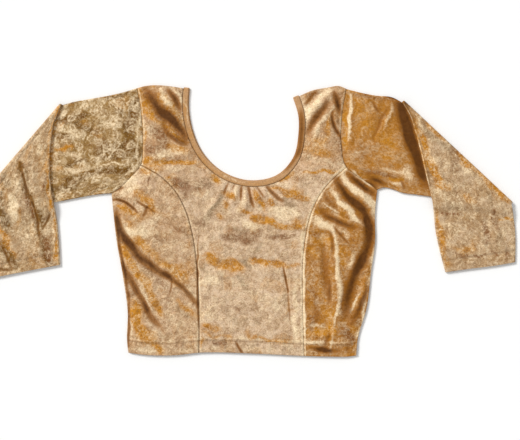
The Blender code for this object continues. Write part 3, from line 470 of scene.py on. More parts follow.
def smooth_step(x):
    """0 up to x = 0, 1 from x = 1, and a smooth rise between."""
    x = np.clip(x, 0.0, 1.0)
    return x * x * (3 - 2 * x)


def band(x, width):
    """1 on a line and about 0 from twice its width away."""
    return np.exp(-((x / width) ** 2))


class Curve:
    """A smooth plan curve through a few points, read by its fraction of length."""

    def __init__(self, points, smooth=True):
        points = np.array(points, float)
        self.line = self.rounded(points) if smooth and len(points) > 2 else points
        steps = np.hypot(*np.diff(self.line, axis=0).T)
        self.length = steps.sum()
        self.at = np.concatenate([[0.0], np.cumsum(steps)])

    @staticmethod
    def rounded(points):
        """Cubic spans whose tangents follow the neighbouring points, wherever they are spaced."""
        gaps = np.hypot(*np.diff(points, axis=0).T)
        slopes = np.diff(points, axis=0) / gaps[:, None]
        tangents = np.empty_like(points)
        weights = (gaps[:-1] / (gaps[:-1] + gaps[1:]))[:, None]
        tangents[1:-1] = slopes[:-1] * (1 - weights) + slopes[1:] * weights
        tangents[0] = 1.5 * slopes[0] - 0.5 * tangents[1]
        tangents[-1] = 1.5 * slopes[-1] - 0.5 * tangents[-2]
        u = np.linspace(0, 1, CURVE_STEPS, endpoint=False)[:, None]
        spans = []
        for i, gap in enumerate(gaps):
            spans.append(
                (2 * u**3 - 3 * u**2 + 1) * points[i]
                + (u**3 - 2 * u**2 + u) * gap * tangents[i]
                + (3 * u**2 - 2 * u**3) * points[i + 1]
                + (u**3 - u**2) * gap * tangents[i + 1]
            )
        return np.concatenate(spans + [points[-1:]])

    def __call__(self, fraction):
        along = np.asarray(fraction, float) * self.length
        return np.stack([np.interp(along, self.at, self.line[:, k]) for k in (0, 1)], axis=-1)

    def normal(self, fraction):
        """The unit plan direction to the left of the way the curve runs."""
        step = 0.5 / self.length
        ahead = self(np.clip(np.asarray(fraction) + step, 0, 1))
        behind = self(np.clip(np.asarray(fraction) - step, 0, 1))
        way = (ahead - behind) / np.linalg.norm(ahead - behind, axis=-1, keepdims=True)
        return np.stack([-way[..., 1], way[..., 0]], axis=-1)

    def beside(self, distance):
        """The same curve moved to its left by a distance."""
        fractions = self.at / self.length
        return Curve(self(fractions) + distance * self.normal(fractions), smooth=False)

    def part(self, start, end):
        """The stretch between two fractions."""
        count = max(3, int(len(self.at) * abs(end - start)) + 2)
        return Curve(self(np.linspace(start, end, count)), smooth=False)

    def back(self):
        return Curve(self.line[::-1], smooth=False)

    def fraction_near(self, point):
        away = np.hypot(*(self.line - np.array(point)).T)
        return self.at[int(np.argmin(away))] / self.length


def distance_to(points, line):
    """How far each point lies from a polyline, how far along it, and on which side."""
    shape = points.shape[:-1]
    flat = points.reshape(-1, 2)
    moved = np.abs(np.diff(line, axis=0)).max(axis=1) > SAME_POINT
    line = line[np.concatenate([[True], moved])]
    start = line[:-1]
    span = line[1:] - start
    length = np.hypot(*span.T)
    before = np.concatenate([[0], np.cumsum(length)])
    best = np.full(len(flat), np.inf)
    reach = np.zeros(len(flat))
    side = np.zeros(len(flat))
    for k in range(len(start)):
        local = flat - start[k]
        along = np.clip(local @ span[k] / length[k] ** 2, 0, 1)
        offset = local - along[:, None] * span[k]
        away = np.hypot(offset[:, 0], offset[:, 1])
        nearer = away < best
        best[nearer] = away[nearer]
        reach[nearer] = (before[k] + along[nearer] * length[k]) / before[-1]
        side[nearer] = np.sign(span[k, 0] * offset[nearer, 1] - span[k, 1] * offset[nearer, 0])
    return best.reshape(shape), reach.reshape(shape), side.reshape(shape)


def away_from(points, *curves):
    """How far each point lies from the nearest of some curves."""
    return np.minimum.reduce([distance_to(points, curve.line)[0] for curve in curves])


def spine(row):
    """The bent line through the three points that a row starts with."""
    u = np.linspace(0, 1, SPINE_STEPS)[:, None]
    start, middle, end = np.array(row[:6], float).reshape(3, 2)
    handle = 2 * middle - (start + end) / 2
    return (1 - u) ** 2 * start + 2 * u * (1 - u) * handle + u**2 * end


def near_rows(points, rows, widths):
    """Each row that comes within some of its widths of any point, with those points' numbers,
    distances, reaches along it and sides."""
    for row in rows:
        line = spine(row)
        margin = row[7 if isinstance(row, Fold) else 6] * widths
        low, high = line.min(axis=0) - margin, line.max(axis=0) + margin
        inside = np.where(((points > low) & (points < high)).all(axis=-1))
        if len(inside[0]):
            yield (row, inside, *distance_to(points[inside], line))


def tapered(reach, ends):
    """1 along a row and less towards its ends."""
    start, share, power = ends
    return np.clip(np.sin(math.pi * (start + share * reach)), 0, 1) ** power


def folds_at(points, folds):
    """The height that the listed folds add at each plan point."""
    total = np.zeros(points.shape[:-1])
    for fold, inside, away, reach, side in near_rows(points, folds, FOLD_REACH):
        width = fold.width * (1 + fold.lean * side)
        total[inside] += fold.height * tapered(reach, FOLD_ENDS) * band(away, width)
    return total


def marks_at(points, marks):
    """How much the listed marks of one tone add to it at each plan point."""
    total = np.zeros(points.shape[:-1])
    for mark, inside, away, reach, _ in near_rows(points, marks, MARK_REACH):
        width, amount = mark[6:]
        total[inside] += amount * tapered(reach, MARK_ENDS) * band(away, MARK_SPREAD * width)
    return total


NOISE_SIZE = 64


def noise(points, cell, seed):
    """Smooth noise from -1 to 1 whose lumps are about one cell across."""
    table = np.random.default_rng(seed).uniform(-1, 1, (NOISE_SIZE, NOISE_SIZE))
    place = points / cell
    low = np.floor(place).astype(int)
    share = place - low
    share = share * share * (3 - 2 * share)
    i, j = low[..., 0] % NOISE_SIZE, low[..., 1] % NOISE_SIZE
    k, m = (i + 1) % NOISE_SIZE, (j + 1) % NOISE_SIZE
    u, v = share[..., 0], share[..., 1]
    return (
        table[i, j] * (1 - u) * (1 - v) + table[k, j] * u * (1 - v)
        + table[i, m] * (1 - u) * v + table[k, m] * u * v
    )


def warped(points, amount, cell, seed):
    """The plan points pushed about by noise, so that what is read there has a ragged edge."""
    push = [noise(points, cell, seed), noise(points, cell, seed + 1)]
    return points + amount * np.stack(push, axis=-1)


# The embossed pattern: sprays of a flower, leaves and a stem, scattered over the cloth
SPRAY_SPACING = 44.0
SPRAY_ROWS = 0.8
SPRAY_JITTER = 8.0
SPRAY_REACH = 29.0
SPRAY_SIZES = (0.8, 1.2)
PETAL_COUNTS = (5, 8)
LEAF_COUNTS = (3, 6)
# Petals and leaves: where they start from the flower's middle, how long and how wide to one side
PETAL = (1.4, 9.0, 2.7)
LEAF = (11.5, 15.0, 4.6)
VEIN_SPACING = 3.6
VEIN_SLANT = 0.9
VEIN_THIN = 0.45
VEIN_SHARE = 0.6
OUTLINE = 0.95
TENDRIL_WAVE = 6
TENDRIL_SHARE = 0.6


def leaf(x, y, turn, start, length, width):
    """One leaf or petal with its midrib and side veins."""
    along = x * math.cos(turn) + y * math.sin(turn) - start
    across = y * math.cos(turn) - x * math.sin(turn)
    u = np.clip(along / length, 0, 1)
    half = width * np.sin(math.pi * u**0.8) ** 0.85
    inside = (along > 0) & (along < length)
    area = smooth_step((half - np.abs(across)) / OUTLINE) * inside
    lines = band(np.abs(across) - half, OUTLINE) * inside
    lines += band(across, VEIN_SHARE * OUTLINE) * inside
    slanted = (along - VEIN_SLANT * np.abs(across)) / VEIN_SPACING
    off_vein = (slanted - np.floor(slanted) - 0.5) * VEIN_SPACING
    lines += VEIN_SHARE * band(off_vein, VEIN_THIN) * area
    return area, lines


def sprays(cloth, seed):
    """The raised area and the pressed lines of the pattern at each point of the cloth."""
    area = np.zeros(cloth.shape[:-1])
    lines = np.zeros(cloth.shape[:-1])
    pick = np.random.default_rng(seed)
    low = cloth.reshape(-1, 2).min(axis=0) - SPRAY_REACH
    high = cloth.reshape(-1, 2).max(axis=0) + SPRAY_REACH
    for number, y in enumerate(np.arange(low[1], high[1], SPRAY_SPACING * SPRAY_ROWS)):
        shift = SPRAY_SPACING / 2 * (number % 2)
        for x in np.arange(low[0] + shift, high[0], SPRAY_SPACING):
            middle = np.array([x, y]) + pick.uniform(-SPRAY_JITTER, SPRAY_JITTER, 2)
            turn = pick.uniform(0, 2 * math.pi)
            size = pick.uniform(*SPRAY_SIZES)
            petals = int(pick.integers(*PETAL_COUNTS))
            leaves = int(pick.integers(*LEAF_COUNTS))
            near = np.where(np.hypot(*np.moveaxis(cloth - middle, -1, 0)) < SPRAY_REACH * size)
            if not len(near[0]):
                continue
            across, up = ((cloth[near] - middle) / size).T
            turns = [(2 * math.pi * k / petals, *PETAL) for k in range(petals)]
            turns += [(turn + 2 * math.pi * k / leaves, *LEAF) for k in range(leaves)]
            parts = [leaf(across, up, *shape) for shape in turns]
            wave = up * math.cos(turn) - across * math.sin(turn)
            stem = across * math.cos(turn) + up * math.sin(turn)
            tendril = band(wave - TENDRIL_WAVE * np.sin(stem / TENDRIL_WAVE), OUTLINE)
            tendril = tendril * (np.hypot(across, up) > LEAF[0])
            parts.append((0 * tendril, TENDRIL_SHARE * tendril))
            for part_area, part_lines in parts:
                area[near] = np.maximum(area[near], part_area)
                lines[near] = np.maximum(lines[near], part_lines)
    return area, np.clip(lines, 0, 1)


TONES = ("deep", "amber", "pale", "grey", "brown", "olive")
SMOOTH_TONES = ("deep",)
# How far and in what cells a mark's edge, a blotch and the pattern are pushed about
RAGGED = ((2.4, 13.0), (1.2, 4.5))
SMOOTH_WARP = 1.2
BLOTCH_WARP = (3.0, 6.0)
PATTERN_WARP = (0.8, 9.0)
CRINKLE_CELLS = ((22.0, 0.75), (10.0, 0.42), (4.0, 0.22))
PATTERN_HEIGHT = 0.30
PATTERN_PRESSED = 0.22
PALE_RISE = 0.5
DEEP_FALL = 0.7
LOWEST_RELIEF = -0.8
# Blotches of a tone: their cell, the noise that they start from and how strong they are
BLOTCHES = {"amber": (19.0, 0.34, 0.24), "pale": (13.0, 0.26, 0.26), "brown": (7.0, 0.34, 0.2)}
BLOTCH_EDGE = 0.25
# How far the pattern's cloth moves for each step of a piece's seed, so that pieces differ
SEED_SHIFT = 17.0


def nap_and_painted_light(plan, cloth, marks, seed, blotches):
    """How the pile lies and where light and shade are painted, at each point: each tone's amount, and
    the pattern's area and lines.
    """
    smooth = ragged = warped(plan, SMOOTH_WARP, RAGGED[0][1], seed)
    for k, (amount, cell) in enumerate(RAGGED):
        ragged = warped(ragged, amount, cell, seed + 10 * k)
    found = {
        tone: marks_at(smooth if tone in SMOOTH_TONES else ragged, marks.get(tone, ()))
        for tone in TONES
    }
    for number, (tone, (cell, level, most)) in enumerate(BLOTCHES.items()):
        lumps = noise(warped(cloth, *BLOTCH_WARP, seed + 30 + number), cell, seed + 40 + number)
        found[tone] = found[tone] + blotches * most * smooth_step((lumps - level) / BLOTCH_EDGE)
    found["area"], found["lines"] = sprays(warped(cloth, *PATTERN_WARP, seed + 60), seed + 61)
    return found


def crinkle(cloth, seed):
    """The small creases of crushed pile, in millimetres: thin ridges where the noise turns over."""
    total = np.zeros(cloth.shape[:-1])
    for number, (cell, height) in enumerate(CRINKLE_CELLS):
        lumps = noise(warped(cloth, cell / 4, cell / 2, seed + number), cell, seed + 20 + number)
        total += height * (1 - np.abs(lumps)) ** 4 - height / 4
    return total


def small_relief(cloth, found, seed):
    """What the nap, the pattern and the creases add to the surface, in millimetres."""
    relief = crinkle(cloth, seed) + PATTERN_HEIGHT * found["area"] - PATTERN_PRESSED * found["lines"]
    relief += PALE_RISE * np.clip(found["pale"], 0, 1) - DEEP_FALL * np.clip(found["deep"], 0, 1)
    return np.maximum(relief, LOWEST_RELIEF)


SIDE = {name: Curve(points) for name, points in SIDE_SEAM.items()}
PRINCESS = {name: Curve(points) for name, points in PRINCESS_SEAM.items()}
ARM = {name: Curve(points) for name, points in ARMHOLE.items()}
TOP = {name: Curve(points) for name, points in SHOULDER.items()}
HEM_LINE = Curve(HEM)
NECK_LINE = Curve(NECK)
JUNCTION_AT = {side: ARM[side].fraction_near(ARMHOLE[side][JUNCTION]) for side in INWARD}
NECK_BOTTOM = NECK_LINE.fraction_near(NECK[NECK_LOWEST])
NECK_SEAM = NECK_LINE.beside(-BINDING_WIDTH)
FRONT_EDGE = np.concatenate(
    [
        SIDE["left"].line,
        ARM["left"].line[::-1],
        TOP["left"].line,
        NECK_SEAM.line,
        TOP["right"].line[::-1],
        ARM["right"].line,
        SIDE["right"].line[::-1],
    ]
)
# How each of the front's seams shows: how dark it is, how deep it dips and how strong the pale,
# painted highlight on the ridge beside it is
Seam = namedtuple("Seam", "line shade dip pale")
FRONT_SEAMS = (
    Seam(PRINCESS["left"], 0.5, 0.8, 0.35),
    Seam(PRINCESS["right"], 0.05, 0.3, 0.6),
    Seam(ARM["left"], 0.15, 0.4, 0.55),
    Seam(ARM["right"], 0.2, 0.45, 0.35),
    Seam(NECK_SEAM, 0.1, 0.3, 0.1),
)
# A pale band of painted highlight on the ridge beside a line: how strong it is, how far from the line
# and how wide
SEAM_PALE = (2.0, 1.3)
HEM_PALES = ((0.4, HEM_DEPTH + 3.4, 1.6), (0.25, 6.0, 4.0))
HEM_SHADE = (0.38, 1.1)
# Puckers along a seam or the hem: how long, how high, how far they run out, and how uneven
Pucker = namedtuple("Pucker", "long height run cell")
SEAM_PUCKER = Pucker(9.0, 0.2, 5, 21)
HEM_PUCKER = Pucker(6, 0.16, 5, 17)
PUCKER_DRIFT = 3

# How gold, how olive and how crushed the ground of each piece is
Ground = namedtuple("Ground", "gold olive crush")
GROUND = {
    "centre": Ground(0.08, 0.0, 0.5),
    "left": Ground(0.4, 0.06, 0.65),
    "right": Ground(1.0, 0.0, 0.34),
    "back": Ground(0.5, 0.0, 0.5),
    "left_upper": Ground(0.62, 0.8, 0.66),
    "left_lower": Ground(0.34, 0.42, 0.75),
    "right_upper": Ground(1.0, 0.0, 0.24),
    "right_lower": Ground(0.24, 0.34, 0.85),
    "binding": Ground(0.64, 0.0, 0.05),
}
# The straps and the chest are more gold than the middle of the front
CHEST_GOLD = 0.5
CHEST_FROM = 232.0
CHEST_RUN = 60.0


def front_under(points):
    """Height of the front's lower face over the surface, as in the solids."""
    edge, _, _ = distance_to(points, FRONT_EDGE)
    hem = away_from(points, HEM_LINE)
    inner = smooth_step(edge / EDGE_RUN)
    rise = smooth_step((hem + EDGE_RUN) / (LOFT_RUN + EDGE_RUN))
    loft = FRONT_LOFT * smooth_step(edge / LOFT_RUN) * rise
    relief = np.maximum(loft + folds_at(points, FRONT_FOLDS) * inner, DEEPEST * inner)
    turning = HEM_RISE * smooth_step((HEM_DEPTH + HEM_BLEND / 2 - hem) / HEM_BLEND)
    return EDGE_UNDER + (FRONT_UNDER - EDGE_UNDER) * inner + relief + turning


def rolled(away):
    """How far a surface has rolled down at some distance from its edge."""
    u = 1 - np.clip(away / EDGE_ROUND, 0, 1)
    return EDGE_ROUND * (1 - np.sqrt(1 - u * u))


def puckered(plan, line, along, away, pucker, seed):
    """The height of the puckers of a sewn line at plan points."""
    drift = PUCKER_DRIFT * noise(plan, pucker.cell, seed)
    ripple = np.sin(2 * math.pi * along * line.length / pucker.long + drift)
    return pucker.height * ripple * np.exp(-away / pucker.run)


def front_surface(plan, seed):
    """The height of the front's face and its nap, at plan points."""
    cloth = plan + SEED_SHIFT * seed
    found = nap_and_painted_light(plan, cloth, FRONT_MARKS, seed, 1.0)
    hem, along_hem, _ = distance_to(plan, HEM_LINE.line)
    nearest = edge = away_from(plan, HEM_LINE, *SIDE.values(), *TOP.values())
    pucker = dip = shade = 0.0
    for seam in FRONT_SEAMS:
        away, along, _ = distance_to(plan, seam.line.line)
        nearest = np.minimum(nearest, away)
        pucker = pucker + puckered(plan, seam.line, along, away, SEAM_PUCKER, seed)
        dip = np.maximum(dip, seam.dip * band(away, SEAM_ROUND))
        shade = np.maximum(shade, seam.shade * band(away, SEAM_THIN))
        # Painted highlight on the ridge beside the seam
        found["pale"] = found["pale"] + seam.pale * band(away - SEAM_PALE[0], SEAM_PALE[1])
    off_hem = np.abs(hem - HEM_DEPTH)
    height = front_under(plan) + WALL
    height += small_relief(cloth, found, seed) * smooth_step(nearest / RELIEF_RUN)
    height += pucker * smooth_step(edge / RELIEF_RUN)
    height += puckered(plan, HEM_LINE, along_hem, off_hem, HEM_PUCKER, seed + 3)
    height -= STITCH_GROOVE * band(off_hem, STITCH_ROUND)
    height -= dip + rolled(edge)
    found["seam"] = shade + HEM_SHADE[0] * band(off_hem, HEM_SHADE[1])
    # Painted highlights along the ridges of the hem's turn and edge
    for amount, depth, width in HEM_PALES:
        found["pale"] = found["pale"] + amount * band(hem - depth, width)
    return height, found


def metres(points):
    """Garment millimetres to the scene's metres."""
    return (points - np.array([*BLOUSE_MIDDLE, 0.0])) * MM


def packed(found, ground):
    """The nap, with its painted light and shade, as three colour attributes."""
    one = np.ones_like(found["deep"])
    return {
        "nap_and_painted_light": [found["deep"], found["amber"], found["pale"], found["grey"]],
        "pile_and_shade": [found["brown"], found["olive"], found["lines"], found["area"]],
        "ground": [ground.gold * one, found["seam"], ground.olive * one, ground.crush * one],
    }


def linked(name, data):
    """A new object in the scene."""
    obj = bpy.data.objects.new(name, data)
    bpy.context.scene.collection.objects.link(obj)
    return obj


def smooth_mesh(name, points, faces, material):
    """A smooth mesh of points in garment millimetres."""
    mesh = bpy.data.meshes.new(name)
    mesh.from_pydata(metres(points).tolist(), [], faces)
    mesh.shade_smooth()
    mesh.materials.append(material)
    return mesh


def cloth_mesh(name, points, faces, layers, material, wall=CLOTH):
    """A smooth piece of cloth with its nap, as a shell unless its wall is 0."""
    used, compact = np.unique(faces, return_inverse=True)
    mesh = smooth_mesh(name, points[used], compact.reshape(faces.shape).tolist(), material)
    for layer, channels in layers.items():
        values = np.stack(channels, axis=-1).reshape(-1, 4)[used]
        colours = mesh.color_attributes.new(layer, "FLOAT_COLOR", "POINT")
        colours.data.foreach_set("color", np.clip(values, 0, 1).astype(np.float32).ravel())
    obj = linked(name, mesh)
    if wall:
        shell = obj.modifiers.new("wall", "SOLIDIFY")
        shell.thickness = wall * MM
        shell.offset = -1
    return obj


def grid_faces(index):
    """Four corners a face over a grid of vertex numbers."""
    corners = [index[:-1, :-1], index[:-1, 1:], index[1:, 1:], index[1:, :-1]]
    return np.stack(corners, axis=-1).reshape(-1, 4)


def closed_mesh(name, points, found, ground, material, round_too=False):
    """A piece of cloth over a grid of points whose rings close, and its rows if round_too."""
    index = np.arange(points[..., 0].size).reshape(points.shape[:2])
    index = np.column_stack([index, index[:, :1]])
    if round_too:
        index = np.concatenate([index, index[:1]])
    faces = grid_faces(index)
    flat = points.reshape(-1, 3)
    a, b, c, d = (flat[faces[:, k]] for k in range(4))
    enclosed = (np.cross(a, b) * c).sum() + (np.cross(a, c) * d).sum()
    if enclosed < 0:
        faces = faces[:, ::-1]
    return cloth_mesh(name, flat, faces, packed(found, ground), material, wall=0)


def spaced(length, step, start=True, end=True):
    """Fractions along a length about a step apart, closer together at a rolled edge."""
    head = list(EDGE_ROWS) if start else [0.0]
    tail = [length - row for row in reversed(EDGE_ROWS)] if end else [length]
    inner = np.linspace(head[-1], tail[0], max(2, int((tail[0] - head[-1]) / step)) + 1)[1:-1]
    return np.concatenate([head, inner, tail]) / length


def bent(parts, share, fractions):
    """Points at some fractions of a path of two curves, of which the first takes a share."""
    first, second = parts
    low = np.clip(fractions / share, 0, 1)
    high = np.clip((fractions - share) / (1 - share), 0, 1)
    return np.where((fractions < share)[:, None], first(low), second(high))


def patch(hem, top, left, right, t):
    """A grid of plan points between two rows of side points, with the bulge of hem and top."""
    s = np.linspace(0, 1, len(left))[:, None, None]
    across = t[None, :, None]
    sides = (1 - across) * left[:, None] + across * right[:, None]

    def bulge(line):
        return line(t)[None] - ((1 - across) * line(0) + across * line(1))

    near_hem = 1 - smooth_step(s / BULGE_SHARE)
    near_top = smooth_step((s - 1 + BULGE_SHARE) / BULGE_SHARE)
    return sides + near_hem * bulge(hem) + near_top * bulge(top)


def hem_between(start, end):
    """The stretch of hem line between the points nearest to two others."""
    return HEM_LINE.part(HEM_LINE.fraction_near(start), HEM_LINE.fraction_near(end))


# Which share of a panel's rows lies below the neck and below the point where its side seam ends
CENTRE_SHARE = 22 / 42
SEAM_SHARE = 30 / 42
BACK_CENTRE_SHARE = 14 / 34
BACK_SEAM_SHARE = 24 / 34
# What sets one piece's noise apart from another's
SEEDS = {"centre": 3, "left": 5, "right": 8, "back": 12, "binding": 43}
BACK_SHIFT = 90.0


def neck_halves(outer, outer_share, centre_share, neck_aside, step):
    """The plan points of a panel with a neckline, and its faces, joined below the neck."""
    neck = NECK_LINE.beside(neck_aside)
    centre = Curve(np.array([HEM_MIDDLE, neck(NECK_BOTTOM)]), smooth=False)
    length = HEM_LINE.length / 2 + PRINCESS["left"].length
    fractions = spaced(length, step)
    grids = []
    for side in INWARD:
        is_left = side == "left"
        half = neck.part(NECK_BOTTOM, 0 if is_left else 1)
        inner = bent((centre, half), centre_share, fractions)
        edge = bent(outer[side], outer_share, fractions)
        t = spaced(np.hypot(*(edge[0] - inner[0])), step, is_left, not is_left)
        corner = outer[side][0](0)
        if is_left:
            grids.append(patch(hem_between(corner, HEM_MIDDLE), TOP[side], edge, inner, t))
        else:
            grids.append(patch(hem_between(HEM_MIDDLE, corner), TOP[side].back(), inner, edge, t))
    index = [np.arange(grid[..., 0].size).reshape(grid.shape[:2]) for grid in grids]
    index[1] = index[1] + index[0].size
    below = fractions <= centre_share
    index[1][below, 0] = index[0][below, -1]
    faces = np.concatenate([grid_faces(part) for part in index])
    return np.concatenate([grid.reshape(-1, 2) for grid in grids]), faces


def front_centre(material):
    outer = {}
    for side, sign in INWARD.items():
        strap = ARM[side].beside(-sign * HALF_SEAM).part(JUNCTION_AT[side], 0)
        outer[side] = (PRINCESS[side].beside(sign * HALF_SEAM), strap)
    aside = -BINDING_WIDTH - SEAM_GAP
    plan, faces = neck_halves(outer, SEAM_SHARE, CENTRE_SHARE, aside, FINE)
    height, found = front_surface(plan, SEEDS["centre"])
    ground = GROUND["centre"]
    chest = CHEST_GOLD * smooth_step((plan[:, 1] - CHEST_FROM) / CHEST_RUN)
    layers = packed(found, ground._replace(gold=ground.gold + chest))
    return cloth_mesh(
        "velvet_front_centre", np.column_stack([plan, height]), faces, layers, material
    )


def front_side(side, material):
    sign = INWARD[side]
    seam = PRINCESS[side].beside(-sign * HALF_SEAM)
    top = ARM[side].beside(-sign * HALF_SEAM).part(JUNCTION_AT[side], 1)
    fractions = spaced(PRINCESS[side].length, FINE)
    edges = [SIDE[side](fractions), seam(fractions)]
    corners = [SIDE_SEAM[side][0], PRINCESS_SEAM[side][0]]
    if side == "left":
        top = top.back()
    else:
        edges.reverse()
        corners.reverse()
    hem = hem_between(*corners)
    plan = patch(hem, top, *edges, spaced(hem.length, FINE))
    faces = grid_faces(np.arange(plan[..., 0].size).reshape(plan.shape[:2]))
    plan = plan.reshape(-1, 2)
    height, found = front_surface(plan, SEEDS[side])
    points = np.column_stack([plan, height])
    return cloth_mesh("velvet_side_" + side, points, faces, packed(found, GROUND[side]), material)


def back_panel(material):
    """The back, low on the surface, with the front's nap and painted light and shade the other way
    round and softer.
    """
    outer = {}
    for side, sign in INWARD.items():
        outer[side] = (SIDE[side], ARM[side].beside(-sign * HALF_SEAM).back())
    aside = BACK_NECK_SHOWS - BINDING_WIDTH - SEAM_GAP
    plan, faces = neck_halves(outer, BACK_SEAM_SHARE, BACK_CENTRE_SHARE, aside, BACK_FINE)
    found = nap_and_painted_light(plan * (-1, 1), plan + BACK_SHIFT, FRONT_MARKS, SEEDS["back"], 1.0)
    found["seam"] = 0 * found["deep"]
    relief = small_relief(plan + BACK_SHIFT, found, SEEDS["back"])
    points = np.column_stack([plan, CLOTH + BACK_RISE + np.clip(relief, -BACK_RISE, BACK_RISE)])
    return cloth_mesh("velvet_back", points, faces, packed(found, GROUND["back"]), material)


SLEEVE_COLUMNS = 92
SLEEVE_SHARES = (0.02, 0.98)
SLEEVE_EDGE_ANGLES = (90, 65, 40, 15, -15, -40, -65, -90)
SLEEVE_STEP = 1.5
ELBOW_RINGS = 10
# The rings that turn the cloth in at the cuff: how far from its edge and how far into the cloth
LIP_STEPS = ((0.0, 0.35), (0.0, 0.75), (1.0, CLOTH), (CUFF_DEPTH, CLOTH))
# Where the side that doesn't show reads the marks and the pattern, so that it isn't a copy
HIDDEN_SHIFT = (14.0, -18.0)
HIDDEN_AROUND = 40
HIDDEN_RELIEF = 0.3
COVERED_RELIEF = 0.3
# The parts of a ring: the first edge, the under face, the other edge and the upper face
FIRST_EDGE, UNDER_FACE, OTHER_EDGE, UPPER_FACE = range(4)
# Each sleeve's seed and how strong its blotches are
SLEEVE_NAPS = {"left": (21, 1.0), "right": (27, 0.5)}
ARM_SHADE = (0.35, 1.0)
CUFF_SHADE = (0.4, 1.4)


def ring_profile(inset):
    """The points round a flattened sleeve: the part, the distance in or share across, and height."""
    half = LAID_HEIGHT / 2
    reach = half - inset
    turns = np.radians(SLEEVE_EDGE_ANGLES)
    shares = np.linspace(*SLEEVE_SHARES, SLEEVE_COLUMNS)
    arc = np.column_stack([half - reach * np.cos(turns), half + reach * np.sin(turns)])
    low = np.column_stack([shares, np.full(len(shares), inset)])
    high = np.column_stack([shares[::-1], np.full(len(shares), LAID_HEIGHT - inset)])
    rows = enumerate([arc, low, arc[::-1], high])
    return np.concatenate([np.column_stack([np.full(len(row), part), row]) for part, row in rows])


def sleeve_patch(first, last, over, under):
    """A function of (s, t) over a sleeve stretch: s from its first to its last section line,
    t from the overarm edge to the underarm edge."""

    def read(s, t):
        s_, t_ = s[..., None], t[..., None]
        ends = (1 - t_) * over(s) + t_ * under(s)
        near = first(t) - ((1 - t_) * first(0) + t_ * first(1))
        far = last(t) - ((1 - t_) * last(0) + t_ * last(1))
        return ends + (1 - s_) * near + s_ * far

    return read


def across_section(read, s, profile):
    """The plan points of some sections of a sleeve stretch, and their share across it."""
    part, amount, _ = profile.T
    zero, one = np.zeros_like(s), np.ones_like(s)
    width = np.linalg.norm(read(s, one) - read(s, zero), axis=-1)[:, None]
    t = np.where(part == OTHER_EDGE, 1 - amount / width, amount)
    t = np.where(part == FIRST_EDGE, amount / width, t)
    return read(np.broadcast_to(s[:, None], t.shape), t), t, width


def sleeve_relief(plan, edges):
    """The loft and folds of a sleeve's upper face, which die out towards some edges."""
    fade = np.ones(plan.shape[:-1])
    for line in edges:
        fade = fade * smooth_step(away_from(plan, line) / LOFT_RUN)
    return np.maximum(SLEEVE_LOFT * fade + folds_at(plan, SLEEVE_FOLDS) * np.sqrt(fade), DEEPEST)


# Some rings of a sleeve: plan and height, the place on the cloth, which points show, how far they
# are from the edges and from the seam or cuff, and how freely the relief stands
Rings = namedtuple("Rings", "plan height along around showing edge seam free")


